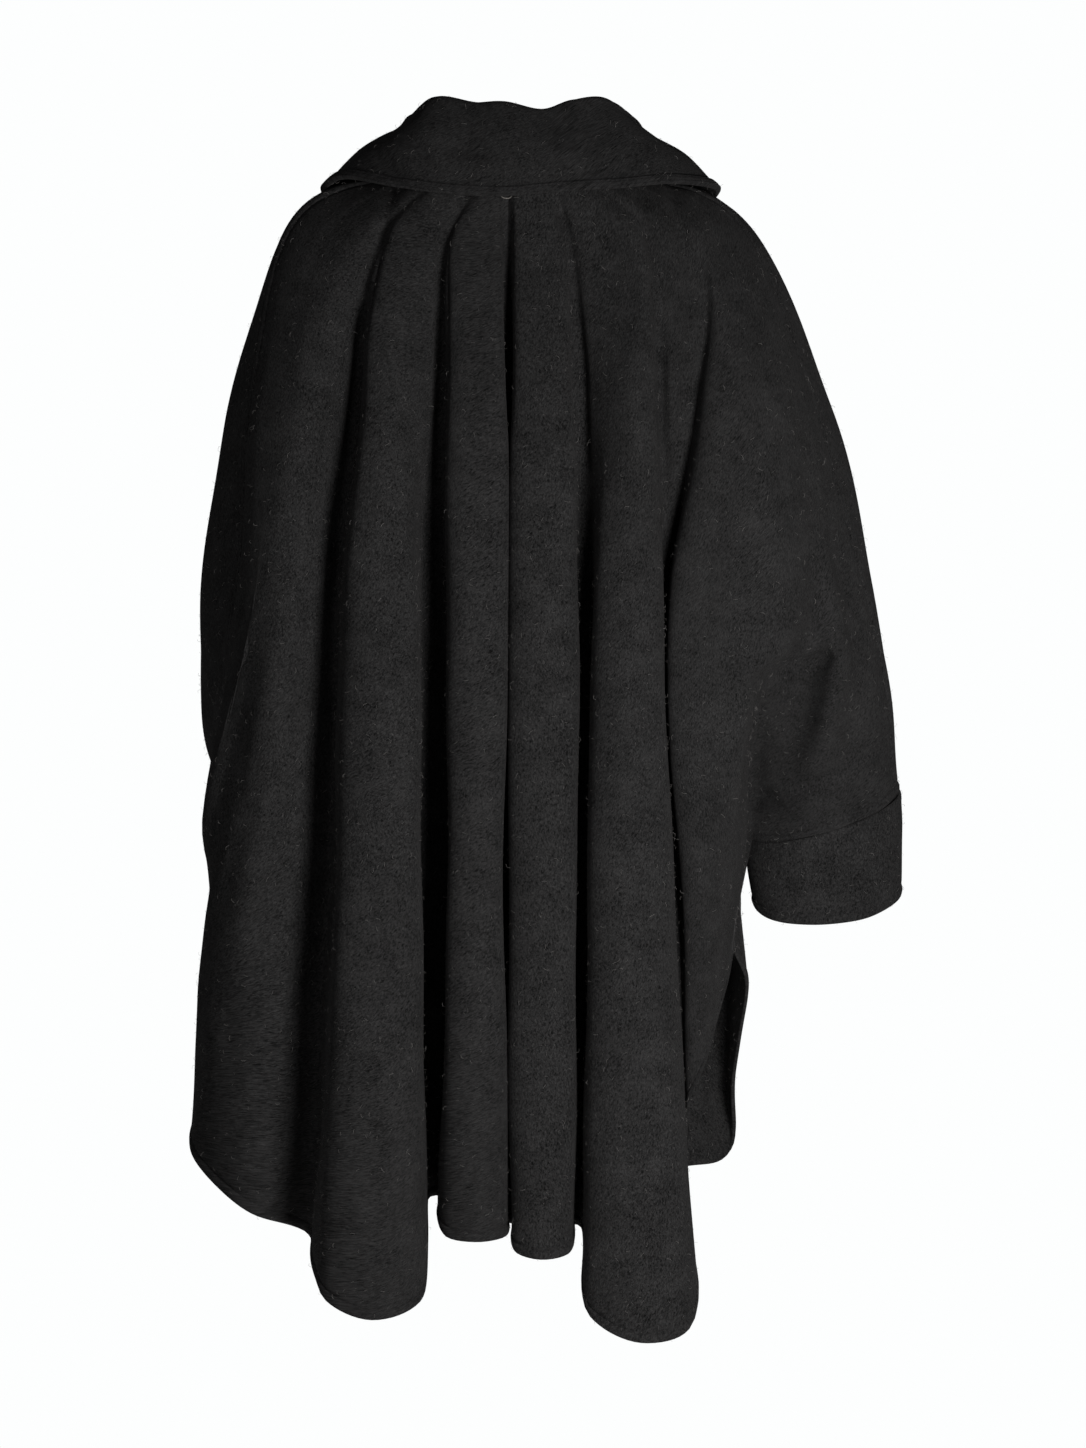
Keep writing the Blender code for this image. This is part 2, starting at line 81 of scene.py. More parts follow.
# Neckline: an ellipse round the neck, high at the sides and low at the front
NECK_X = -8.0
NECK_HALF_WIDTH = 78.0
NECK_HALF_DEPTH = 72.0
NECK_BACK_Z = 14.0
NECK_SIDE_RISE = 24.0
NECK_FRONT_DROP = 15.0

# Heights of the levels that a two-number cell of the tables lies on
BLADE_Z = -180.0
ELBOW_Z = -335.0
FOREARM_Z = -450.0
THIGH_Z = -570.0

# Rows of mesh between one level and the next, from the neckline to the hem
LEVEL_ROWS = (3, 3, 3, 2, 3, 5)

# A cuff's two ends: middle, half width towards the outer side, half depth towards the back
CuffEnd = namedtuple("CuffEnd", "centre side back")
RIGHT_CUFF = (
    CuffEnd((256, 42, -537), (67, 0, 19), (0, -46, -17)),
    CuffEnd((260, 62, -612), (63, 0, 5), (0, -46, -22)),
)
LEFT_CUFF = (
    CuffEnd((-212, 126, -512), (-61, 3, -5), (0, -42, -26)),
    CuffEnd((-198, 174, -578), (-58, 3, -5), (0, -40, -25)),
)

# One guide line. neck is an angle round the neckline in degrees, 0 at the back and 90 at the wearer's
# right, or a point. end is an angle round the cuff, 0 at the outer side and 90 at the back, or a point.
# The cells between hold (x, y) at the level's height or (x, y, z), or None where the line runs straight
# on. steps is the number of mesh columns from this line to the next.
Guide = namedtuple("Guide", "name neck yoke blade elbow forearm thigh end steps")

SEAM_LEFT = Guide("seam", -88, (-196, -10, -8), (-242, -58), (-254, -66), (-266, -30, -452),
                  (-274, 64, -508), 0, 2)
SEAM_RIGHT = Guide("seam", 88, (172, -14, -12), (246, -35), (290, -30), (311, 0, -430),
                   (319, 24, -484), 0, 2)

BACK_LEFT = (
    SEAM_LEFT,
    Guide("sleeve outer", -84, (-193, -19, -14), (-236, -74), (-251, -82, -345), (-270, -38, -480),
          (-266, 64, -514), 45, 2),
    Guide("sleeve under", -80, (-190, -28, -20), (-230, -86), (-246, -96, -358), (-274, -36, -520),
          (-218, 42, -522), 100, 2),
    Guide("cuff corner", -76, (-186, -37, -26), (-223, -95), (-240, -106, -370), (-278, -38, -556),
          (-190, 52, -538), 148, 2),
    Guide("side seam end", -72, (-181, -45, -31), (-216, -101), (-232, -113), (-278, -48, -576),
          (-218, 24, -602), (-136, 76, -602), 2),
    Guide("free edge high", -68, (-176, -51, -36), (-208, -106), (-225, -119), (-276, -62, -582),
          (-256, 10, -664), (-186, 76, -690), 2),
    Guide("free edge low", -64, (-171, -57, -40), (-200, -110), (-217, -123), (-264, -96, -560),
          (-284, -22, -688), (-252, 62, -764), 2),
    Guide("A edge", -60, (-165, -62, -43), (-191, -111), (-208, -125), (-244, -122, -520),
          (-282, -72, -680), (-293, -14, -812), 2),
    Guide("A face", -56, (-158, -67, -45), (-181, -109), (-198, -123), (-220, -130, -490),
          (-250, -122, -640), (-282, -86, -846), 2),
    Guide("A flank", -52, (-148, -70, -46), (-169, -101), (-184, -112), (-196, -119, -465),
          (-208, -124, -600), (-240, -128, -878), 2),
    Guide("A|B floor", -48, (-134, -69, -45), (-150, -83), (-165, -92), None, (-171, -95),
          (-192, -108, -896), 1),
    Guide("B left", -43, (-127, -78, -45), (-140, -120), (-153, -152), None, (-159, -174),
          (-175, -206, -948), 2),
    Guide("B middle", -37, (-110, -81, -45), (-124, -126), (-130, -160), None, (-128, -186),
          (-134, -220, -964), 2),
    Guide("B right", -31, (-92, -79, -45), (-107, -118), (-105, -150), None, (-97, -174),
          (-94, -206, -950), 2),
    Guide("B|C floor left", -27, (-78, -72, -45), (-84, -90), (-90, -96), None, (-93, -100),
          (-88, -112, -866), 1),
    Guide("B|C floor right", -24, (-72, -70, -45), (-74, -85), (-72, -95), None, (-71, -99),
          (-76, -112, -864), 1),
    Guide("C left", -20, (-68, -78, -45), (-68, -116), (-66, -143), None, (-67, -162),
          (-73, -188, -895), 2),
    Guide("C middle", -15, (-46, -81, -45), (-44, -122), (-44, -150), None, (-45, -171),
          (-45, -200, -899), 2),
    Guide("C right", -11, (-26, -79, -45), (-23, -116), (-23, -142), None, (-25, -160),
          (-22, -186, -896), 1),
    Guide("C|D floor left", -9.5, (-23, -72, -45), (-22, -88), (-22, -100), None, (-25, -108),
          (-21, -122, -888), 1),
    Guide("centre back", -8, (-19, -70, -45), (-18, -84), (-18, -96), None, (-21, -104),
          (-17, -118, -887), 0),
)

BACK_RIGHT = (
    BACK_LEFT[-1]._replace(steps=1),
    Guide("C|D floor right", -6.5, (-15, -72, -45), (-14, -88), (-14, -100), None, (-17, -108),
          (-13, -122, -888), 1),
    Guide("D left", -5, (-12, -79, -45), (-13, -116), (-13, -142), None, (-16, -160),
          (-12, -188, -909), 2),
    Guide("D middle", 1, (8, -82, -45), (10, -122), (12, -150), None, (11, -171),
          (10, -200, -914), 2),
    Guide("D right", 7, (27, -79, -45), (31, -117), (36, -142), None, (36, -160),
          (33, -188, -910), 1),
    Guide("D|E floor left", 11, (32, -71, -45), (37, -87), (41, -97), None, (41, -101),
          (38, -113, -888), 1),
    Guide("D|E floor right", 15, (50, -74, -45), (50, -96), (54, -101), None, (50, -103),
          (45, -115, -892), 1),
    Guide("E left", 22, (78, -79, -45), (74, -119), (60, -150), None, (55, -176),
          (51, -206, -962), 2),
    Guide("E middle", 27, (89, -82, -45), (89, -126), (85, -162), None, (87, -190),
          (93, -223, -983), 2),
    Guide("E right", 31, (98, -79, -45), (103, -118), (108, -150), None, (115, -176),
          (136, -208, -972), 1),
    Guide("E|F floor left", 35, (108, -73, -46), (110, -96), (113, -104), None, (119, -106),
          (131, -124, -872), 1),
    Guide("G", 40, (126, -74, -46), (131, -95), (117, -99), None, (123, -101),
          (133, -115, -838), 1),
    Guide("E|F floor right", 46, (141, -66, -46), (145, -86), (121, -97), None, (127, -100),
          (137, -110, -802), 1),
    Guide("wing left", 51, (147, -65, -44), (153, -110), (125, -136), (119, -138), (130, -128),
          (139, -118, -777), 2),
    Guide("wing face", 56, (151, -61, -40), (170, -115), (144, -142), (136, -142), (146, -132),
          (151, -112, -742), 2),
    Guide("wing middle", 61, (155, -56, -36), (188, -106), (170, -126), (156, -136), (163, -120),
          (163, -96, -704), 2),
    Guide("wing side", 66, (158, -50, -32), (203, -104), (200, -118), (176, -130), (177, -96),
          (171, -62, -672), 2),
    Guide("side seam end", 71, (162, -43, -27), (217, -98), (225, -110, -362), (192, -106, -440),
          (185, -48), (176, 4, -641), 2),
    Guide("cuff corner", 76, (165, -35, -22), (228, -80), (240, -86, -370), (202, -46, -438),
          (191, 0, -505), 160, 2),
    Guide("forearm inner", 80, (167, -29, -19), (234, -69), (252, -84, -362), (236, -36, -440),
          (224, -10, -500), 135, 2),
    Guide("elbow ridge", 83, (169, -24, -16), (238, -58), (263, -78, -366), (263, -60, -440),
          (252, -26, -498), 90, 2),
    Guide("forearm outer", 86, (171, -18, -14), (242, -46), (278, -56), (294, -36, -436),
          (297, -8, -490), 45, 2),
    SEAM_RIGHT._replace(steps=0),
)

FRONT_LEFT = (
    SEAM_LEFT,
    Guide("sleeve outer", -95, (-192, 8, -9), (-261, -6), (-285, 2), (-287, 40, -436),
          (-278, 92, -492), -45, 2),
    Guide("sleeve over", -103, (-184, 27, -14), (-254, 48), (-277, 62), (-270, 94, -416),
          (-250, 128, -456), -90, 2),
    Guide("sleeve inner", -110, (-172, 43, -20), (-232, 86), (-247, 110), (-226, 128, -412),
          (-204, 144, -454), -126, 2),
    Guide("cuff corner", -117, (-157, 56, -27), (-206, 104), (-208, 124), (-186, 132, -412),
          (-170, 140, -450), -158, 1),
    Guide("underarm", -120, (-150, 60, -30), (-196, 108), (-197, 127), (-170, 132, -416),
          (-146, 130, -472), (-134, 112, -540), 1),
    Guide("side seam end", -123, (-143, 65, -34), (-186, 112), (-186, 130), (-150, 131, -426),
          (-122, 114, -488), (-128, 86, -600), 2),
    Guide("free edge high", -128, (-130, 71, -40), (-168, 116), (-168, 132), (-140, 132, -436),
          (-114, 120, -530), (-132, 102, -680), 2),
    Guide("free edge low", -133, (-118, 75, -44), (-152, 119), (-150, 133), (-128, 136), (-111, 136),
          (-140, 132, -770), 2),
    Guide("side fold", -138, (-105, 78, -48), (-134, 121), (-132, 142), None, (-108, 154),
          (-130, 162, -836), 2),
    Guide("side floor", -143, (-92, 80, -51), (-112, 112), (-112, 118), None, (-92, 124),
          (-102, 130, -846), 2),
    Guide("middle fold", -149, (-76, 84, -54), (-90, 128), (-92, 150), None, (-88, 168),
          (-94, 186, -856), 2),
    Guide("middle floor", -155, (-60, 83, -57), (-68, 118), (-71, 128), None, (-69, 134),
          (-71, 142, -852), 2),
    Guide("lap start", -163, (-44, 84, -59), (-47, 119), (-48, 135), None, (-48, 145),
          (-48, 155, -853), 2),
    Guide("centre front", (-12, 67, -17), (-14, 83, -61), (-10, 119), (-8, 135), None, (-8, 145),
          (-8, 155, -853), 1),
    Guide("front edge", (6, 67, -16), (14, 83, -61), (24, 119), (27, 135), None, (27, 145),
          (27, 155, -853), 0),
)

FRONT_RIGHT = (
    SEAM_RIGHT,
    Guide("sleeve outer", 95, (176, 6, -11), (262, 4), (296, 8), (308, 34, -428),
          (314, 58, -480), -45, 2),
    Guide("sleeve over", 103, (170, 26, -15), (250, 50), (281, 62), (284, 86, -424),
          (276, 96, -476), -90, 2),
    Guide("sleeve inner", 110, (158, 43, -21), (226, 84), (248, 98), (246, 112, -424),
          (234, 100, -484), -122, 2),
    Guide("cuff corner", 117, (144, 56, -27), (200, 102), (216, 120), (212, 116, -436),
          (190, 88, -490), -160, 1),
    Guide("underarm", 120, (137, 60, -30), (190, 107), (206, 125), (200, 117, -443),
          (176, 86, -520), (175, 52, -574), 1),
    Guide("side seam end", 123, (130, 65, -34), (180, 111), (196, 130), (190, 116, -450),
          (170, 78, -556), (176, 14, -641), 2),
    Guide("free edge high", 128, (118, 71, -40), (162, 116), (180, 134), (182, 130), (180, 104),
          (189, 60, -694), 2),
    Guide("free edge low", 133, (106, 75, -44), (146, 119), (166, 138), None, (184, 130),
          (180, 108, -770), 2),
    Guide("side fold", 138, (93, 78, -48), (130, 124), (150, 146), None, (168, 152),
          (174, 152, -842), 2),
    Guide("side floor", 143, (80, 80, -51), (108, 112), (122, 118), None, (132, 120),
          (138, 124, -850), 2),
    Guide("middle fold", 149, (64, 84, -54), (84, 129), (92, 151), None, (98, 168),
          (102, 184, -858), 2),
    Guide("middle floor", 155, (48, 85, -57), (62, 120), (68, 129), None, (68, 136),
          (67, 144, -854), 2),
    Guide("lap start", 163, (30, 88.9, -59), (34, 124.9), (36, 140.9), None, (36, 150.9),
          (36, 160.9, -856), 2),
    Guide("centre front", 176, (-2, 88.9, -61), (-6, 124.9), (-8, 140.9), None, (-8, 150.9),
          (-8, 160.9, -856), 1),
    Guide("front edge", 187, (-30, 88.9, -61), (-40, 124.9), (-43, 140.9), None, (-43, 150.9),
          (-43, 160.9, -856), 0),
)

# The collar, from one front end round the back to the other: its roll line and its lower edge at
# angles round the neckline. steps is the number of mesh columns to the next row.
CollarRow = namedtuple("CollarRow", "angle roll edge steps")
COLLAR = (
    CollarRow(-163, (-42, 92, -4), (-58, 112, -78), 2),
    CollarRow(-140, (-74, 76, 20), (-112, 104, -58), 2),
    CollarRow(-112, (-94, 40, 48), (-164, 62, -14), 2),
    CollarRow(-90, (-104, 2, 66), (-181, 14, 5), 2),
    CollarRow(-70, (-99, -34, 68), (-160, -42, 13), 3),
    CollarRow(-45, (-81, -60, 81), (-112, -82, 3), 3),
    CollarRow(-24, (-48, -70, 75), (-66, -95, -3), 3),
    CollarRow(-6, (-22, -74, 76), (-22, -99, -5), 3),
    CollarRow(12, (11, -74, 71), (28, -98, -1), 3),
    CollarRow(30, (36, -68, 80), (78, -90, 2), 3),
    CollarRow(48, (62, -56, 82), (122, -70, 7), 3),
    CollarRow(68, (86, -34, 66), (150, -40, 7), 2),
    CollarRow(90, (92, 4, 60), (165, 6, 5), 2),
    CollarRow(112, (84, 42, 44), (146, 62, -14), 2),
    CollarRow(140, (60, 76, 18), (96, 104, -60), 2),
    CollarRow(163, (30, 92, -6), (44, 114, -80), 0),
)
# How the collar turns over at its roll line, and how far the leaf below bulges
ROLL_RADIUS = 8.0
ROLL_DROP = 9.0
LEAF_BULGE = 5.0
# Its foot stands clear of the neckline by the first of these, and by more at the sides and the front
STAND_LIFT = 1.6
SIDE_LIFT = 2.0
FRONT_LIFT = 3.0
# The wall thickens to the edge band over this length
BAND_STEP = 1.0
COLLAR_ROWS = (1, 1, 2, 2, 2, 1, 1, 1)

# A panel with its cuff. facing is 1 where its columns by its rows point out of the cloth, or else -1.
# stitched names its topstitched edges: its first or last guide line, or its lower end.
Panel = namedtuple("Panel", "name guides cuff facing stitched")
PANELS = (
    Panel("back_left", BACK_LEFT, LEFT_CUFF, -1, ("first", "end")),
    Panel("back_right", BACK_RIGHT, RIGHT_CUFF, -1, ("last", "end")),
    Panel("front_left", FRONT_LEFT, LEFT_CUFF, 1, ("last", "end")),
    Panel("front_right", FRONT_RIGHT, RIGHT_CUFF, -1, ("last", "end")),
)
CUFFS = (("cuff_left", LEFT_CUFF, -1), ("cuff_right", RIGHT_CUFF, 1))

# How finely the cloth is sampled: samples for each mesh step of the CAD, then the distance between a
# panel's mesh columns, and the numbers of mesh lines
FINE = 8
ACROSS_SPACING = 6.0
DOWN_COUNT = 125
CUFF_AROUND = 120
CUFF_DOWN = 30
COLLAR_ACROSS = 190
COLLAR_DOWN = 70

# Distances from a finished edge at which the mesh has a line, so that the edge can roll and the
# stitches can sink in. The collar's band has its own, and two rows of stitches.
EDGE_LINES = (0.0, 0.35, 1.0, 2.2, 5.0, 7.6, 8.4, 9.0, 9.6, 10.4, 13.0)
STITCH_LINE = 9.0
NECK_LINES = (0.0,)
FOOT_LINES = (0.0, 1.4)
BAND_LINES = (0.0, 0.35, 1.0, 1.6, 2.2, 2.8, 3.6, 4.8, 5.6, 6.2, 6.8, 7.4, 8.0, 8.6, 9.6)
BAND_STITCHES = (2.2, 6.2)
# A mesh line that is further from every finished edge counts as this far
FAR = 99.0
# Topstitching starts this many mesh lines from the neckline, and from the collar's front ends
NECK_FREE = 6
COLLAR_FREE = 3

# The wall's rolled edge: its width, and its share of the full wall at the very edge
EDGE_ROUND = 1.4
EDGE_SHARE = 0.25
THINNEST = 0.2
# Across a seam: place from the edge, half width and height of the turned-in cloth and of the trough
# where the stitches pull in, and of the trough on the collar's band
Bump = namedtuple("Bump", "place width height")
RIDGE = Bump(4.6, 3.2, 1.0)
TROUGH = Bump(STITCH_LINE, 1.1, -1.1)
PLAIN_RIDGE = 0.35
BAND_TROUGH_WIDTH = 0.55
BAND_TROUGH_DEPTH = 0.6
BAND_SOFTNESS = 0.35

# A crease comes in fully as the cloth turns to its side, and ends at this share of its fade's half wave
FACING_GAIN = 1.6
FACING_START = 0.1
END_SHARE = 0.08

# Long waves in the worn cloth: how many, and the ranges of their lengths round and down the body. The
# cuffs and the collar take a share of their height, and none of it this near to the seam.
WAVE_COUNT = 14
WAVES_ACROSS = (70, 190)
WAVES_DOWN = (180, 420)
CUFF_DRAPE = 0.7
COLLAR_DRAPE = 0.9
CUFF_CALM = 25
COLLAR_CALM = 40
# A cuff stands out by this much between its ends
CUFF_SWELL = 1.5

# A soft crease in the worn cloth, as seen from the back or the front: its line in x and z, its depth
# (negative is a trough), its half width, and -1 where it lies on the side that faces -Y
Crease = namedtuple("Crease", "name line depth width side")
CREASES = (
    Crease("A|B pleat", ((-119, 4), (-131, -48), (-146, -120), (-156, -260)), -7.0, 5, -1),
    Crease("B|C pleat", ((-77, 0), (-75, -96), (-80, -241)), -7.0, 5, -1),
    Crease("C|D pleat", ((-20, 0), (-19, -90), (-18, -200)), -6.0, 4, -1),
    Crease("D|E pleat", ((24, 0), (36, -60), (44, -150), (48, -240)), -7.0, 5, -1),
    Crease("E|F pleat", ((92, 0), (106, -50), (112, -140), (116, -260)), -7.0, 5, -1),
    Crease("G pleat", ((122, 2), (134, -50), (137, -120), (126, -220)), -7.0, 5, -1),
    Crease("over-arm pleat", ((150, -6), (166, -60), (178, -130)), -3.0, 6, -1),
    Crease("elbow overhang", ((198, -408), (208, -400), (231, -396), (262, -384)), 6.0, 7, -1),
    Crease("elbow fold", ((196, -424), (210, -414), (233, -411), (264, -398)), -11.0, 8, -1),
    Crease("wing edge", ((186, -430), (181, -470), (178, -520)), 4.0, 7, -1),
    Crease("wing shadow", ((200, -430), (196, -480), (193, -520)), -9.0, 8, -1),
    Crease("elbow ridge", ((243, -301), (253, -332), (263, -369), (268, -403), (262, -440), (252, -488)),
           6.0, 9, -1),
    Crease("behind ridge", ((262, -301), (273, -340), (284, -380), (286, -420), (280, -470)), -6.0, 10, -1),
    Crease("above cuff inner", ((184, -532), (204, -521), (220, -530)), -7.0, 6, -1),
    Crease("above cuff bump", ((206, -536), (224, -528), (244, -530)), 4.0, 7, -1),
    Crease("above cuff outer", ((226, -520), (247, -511), (268, -502)), -6.0, 7, -1),
    Crease("upper sleeve", ((262, -250), (240, -300), (226, -352)), -3.0, 12, -1),
    Crease("shoulder blade", ((150, -120), (172, -180), (184, -240)), -2.5, 13, -1),
    Crease("left shoulder", ((-206, -90), (-222, -170), (-228, -250)), -2.5, 13, -1),
    Crease("left side", ((-262, -430), (-250, -520), (-262, -610)), -3.0, 14, -1),
    Crease("A slant", ((-282, -640), (-262, -700), (-256, -770)), -2.5, 13, -1),
    Crease("B slant", ((-120, -560), (-136, -640), (-140, -720)), -2.2, 12, -1),
    Crease("E slant", ((78, -520), (92, -620), (96, -700)), -2.2, 12, -1),
    Crease("front elbow right", ((300, -400), (262, -410), (232, -424), (214, -450)), -6.0, 10, 1),
    Crease("front cuff right", ((214, -488), (240, -500), (268, -492), (296, -500)), -3.0, 8, 1),
    Crease("front elbow left", ((-282, -388), (-250, -396), (-222, -404), (-190, -424)), -6.0, 10, 1),
    Crease("front cuff left", ((-262, -470), (-236, -462), (-206, -462), (-180, -470)), -3.0, 8, 1),
    Crease("front yoke right", ((60, -120), (86, -200), (96, -300)), -2.5, 14, 1),
    Crease("front yoke left", ((-70, -120), (-92, -210), (-100, -320)), -2.5, 14, 1),
)
COLLAR_CREASES = (
    Crease("leaf left", ((-116, 53), (-97, 39), (-84, 20)), -6.0, 5, -1),
    Crease("leaf left inner", ((-76, 40), (-58, 34), (-38, 31)), -3.0, 6, -1),
    Crease("leaf left low", ((-134, 34), (-122, 22), (-110, 10)), -3.0, 6, -1),
    Crease("leaf right", ((104, 48), (96, 34), (82, 20)), -3.0, 7, -1),
    Crease("leaf middle", ((-30, 48), (-10, 34), (16, 30)), -1.2, 8, -1),
    Crease("front left leaf", ((-110, 10), (-96, -14), (-84, -40)), -2.0, 7, 1),
    Crease("front right leaf", ((96, 10), (84, -14), (72, -42)), -2.0, 7, 1),
)

# Each piece of cloth as it was cut: its width and length before it was sewn and worn, and its area
Cut = namedtuple("Cut", "flat area held rests_on")
CUTS = {
    "back_left": Cut((1.05, 1.05), 0.53, "draped", []),
    "back_right": Cut((1.05, 1.10), 0.50, "draped", []),
    "front_left": Cut((0.80, 0.95), 0.345, "draped", []),
    "front_right": Cut((0.80, 0.95), 0.37, "draped", []),
    "collar": Cut((0.66, 0.17), 0.09, "folded", ["wool_back_left", "wool_back_right"]),
    "cuff_left": Cut((0.36, 0.085), 0.03, "hung", ["wool_back_left", "wool_front_left"]),
    "cuff_right": Cut((0.38, 0.085), 0.03, "hung", ["wool_back_right", "wool_front_right"]),
}

WOOL_DARK = "0E0E0E"
WOOL_LIGHT = "444343"
# The collar is the same wool as the panels, made a little darker: painted shade on the collar
COLLAR_DARK_SHADED = "0D0D0D"
COLLAR_LIGHT_SHADED = "403F3F"

# The thread loop below the collar: its middle line, the steps between two points and its sides
LOOP_PATH = ((-25, -75, -2), (-25.5, -80, -3.5), (-23, -82.5, -5.5), (-19, -82.5, -6), (-16.5, -80, -4.5),
             (-17, -75, -2))
LOOP_RADIUS = 0.45
LOOP_STEPS = 10
LOOP_SIDES = 8

# The studio, in metres: the floor's height, radius and sides, and the camera's place and frame
STAGE_FLOOR = -1.55
FLOOR_RADIUS = 1.15
FLOOR_SIDES = 96
CAMERA_DISTANCE = 8.0
CAMERA_PLACE = (0.011, -0.1 - CAMERA_DISTANCE, -0.459)
FRAME_HEIGHT = 1.245


def linear(hex_colour):
    """The linear colour of an sRGB hex string."""
    values = [int(hex_colour[i:i + 2], 16) / 255 for i in (0, 2, 4)]
    return tuple(v / 12.92 if v <= 0.04045 else ((v + 0.055) / 1.055) ** 2.4 for v in values) + (1.0,)


def unit(vectors):
    return vectors / np.maximum(np.linalg.norm(vectors, axis=-1, keepdims=True), 1e-9)


def curve(points, steps):
    """Points on a smooth curve through the given ones, steps[i] of them from point i to the next."""
    points = np.asarray(points, dtype=float)
    spacing = np.sqrt(np.linalg.norm(np.diff(points, axis=0), axis=1)) + 1e-6
    knots = np.concatenate([[0.0], np.cumsum(spacing)])
    tangents = np.gradient(points, knots, axis=0)
    found = []
    for i, count in enumerate(steps):
        s = (np.arange(count) / count)[:, None]
        found.append(
            (1 + 2 * s) * (1 - s) ** 2 * points[i]
            + s * (1 - s) ** 2 * spacing[i] * tangents[i]
            + s * s * (3 - 2 * s) * points[i + 1]
            + s * s * (s - 1) * spacing[i] * tangents[i + 1]
        )
    return np.concatenate(found + [points[-1:]])


def neck_point(degrees):
    turn = math.radians(degrees)
    rise = NECK_SIDE_RISE * math.sin(turn) ** 2 - NECK_FRONT_DROP * (1 - math.cos(turn))
    return (NECK_X + NECK_HALF_WIDTH * math.sin(turn), -NECK_HALF_DEPTH * math.cos(turn), NECK_BACK_Z + rise)


def cuff_point(cuff_end, degrees):
    turn = math.radians(degrees)
    centre, side, back = (np.array(v, dtype=float) for v in cuff_end)
    return centre + side * math.cos(turn) + back * math.sin(turn)


def is_angle(cell):
    return isinstance(cell, (int, float))


def guide_points(guide, cuff):
    """The seven points of a guide line, from the neckline to its end."""
    neck = neck_point(guide.neck) if is_angle(guide.neck) else guide.neck
    end = cuff_point(cuff[0], guide.end) if is_angle(guide.end) else guide.end
    cells = (guide.blade, guide.elbow, guide.forearm, guide.thigh)
    points = [np.array(neck, dtype=float), np.array(guide.yoke, dtype=float)]
    for cell, level in zip(cells, (BLADE_Z, ELBOW_Z, FOREARM_Z, THIGH_Z)):
        if cell is None:
            points.append(None)
        else:
            points.append(np.array(cell if len(cell) == 3 else (*cell, level), dtype=float))
    points.append(np.array(end, dtype=float))
    for i, point in enumerate(points):
        if point is None:
            above, below = points[i - 1], points[i + 1]
            share = (above[2] - FOREARM_Z) / (above[2] - below[2])
            points[i] = above + (below - above) * share
    return points


def end_line(guides, cuff, smooth):
    """The panel's lower edge: round the cuff, straight down the side seam and smooth along the hem."""
    line = smooth.copy()
    at = 0
    for here, after in zip(guides, guides[1:]):
        count = here.steps * FINE
        for k in range(count + 1):
            share = k / count
            if is_angle(here.end) and is_angle(after.end):
                line[at + k] = cuff_point(cuff[0], here.end + (after.end - here.end) * share)
            elif is_angle(here.end) or is_angle(after.end):
                line[at + k] = smooth[at] + (smooth[at + count] - smooth[at]) * share
        at += count
    return line


def panel_grid(guides, cuff):
    """The middle of a panel's wall, finely, as columns of points from the neckline down."""
    net = np.array([guide_points(guide, cuff) for guide in guides])
    steps = [guide.steps * FINE for guide in guides[:-1]]
    levels = [curve(net[:, level], steps) for level in range(net.shape[1])]
    levels[-1] = end_line(guides, cuff, levels[-1])
    columns = np.stack(levels, axis=1)
    return np.array([curve(column, [rows * FINE for rows in LEVEL_ROWS]) for column in columns])


def cuff_grid(cuff):
    """The middle of a cuff's wall, with its columns once round from the outer seam over the back."""
    columns = []
    for degrees in np.linspace(0, 360, CUFF_AROUND, endpoint=False):
        first, last = (cuff_point(end, degrees) for end in cuff)
        columns.append([first + (last - first) * r / CUFF_DOWN for r in range(CUFF_DOWN + 1)])
    return np.array(columns)


def collar_section(row):
    """The collar's wall at one angle: up the stand, over the roll line and down the leaf to its edge."""
    turn = math.radians(row.angle)
    up = np.array((0.0, 0.0, 1.0))
    lift = STAND_LIFT + SIDE_LIFT * abs(math.sin(turn)) + FRONT_LIFT * (1 - math.cos(turn)) / 2
    foot = np.array(neck_point(row.angle)) + up * lift
    roll = np.array(row.roll, dtype=float)
    edge = np.array(row.edge, dtype=float)
    fall = edge - roll
    outward = unit(fall * (1, 1, 0))
    leaf_out = unit(np.cross(np.cross(fall, up), fall))
    inner_roll = roll - outward * ROLL_RADIUS - up * ROLL_DROP
    outer_roll = roll + outward * ROLL_RADIUS - up * ROLL_DROP
    stand = foot + (inner_roll - foot) / 2
    leaf = (outer_roll + edge) / 2 + leaf_out * LEAF_BULGE
    up_leaf = unit(leaf - edge)
    above_band = edge + up_leaf * (BAND_WIDTH + BAND_STEP)
    return [foot, stand, inner_roll, roll, outer_roll, leaf, above_band, edge + up_leaf * BAND_WIDTH, edge]


def collar_grid():
    net = np.array([collar_section(row) for row in COLLAR])
    steps = [row.steps * FINE for row in COLLAR[:-1]]
    lines = np.stack([curve(net[:, line], steps) for line in range(net.shape[1])], axis=1)
    return np.array([curve(line, [rows * FINE for rows in COLLAR_ROWS]) for line in lines])


def spread(lengths, count, first, last):
    """Places along lines of these lengths: the given distances from each end, and the rest evenly
    between them. One row of places for each line."""
    first, last = np.asarray(first, dtype=float), np.asarray(last, dtype=float)
    # On a short line the given distances shrink, so that each end keeps under half of it
    squeeze = np.minimum(1.0, 0.45 * lengths / max(first[-1], last[-1], 1e-6))
    starts = first[None, :] * squeeze[:, None]
    ends = lengths[:, None] - last[None, ::-1] * squeeze[:, None]
    middle = max(count - len(first) - len(last), 1)
    share = (np.arange(1, middle + 1) / (middle + 1))[None, :]
    between = starts[:, -1:] + (ends[:, :1] - starts[:, -1:]) * share
    return np.concatenate([starts, between, ends], axis=1)


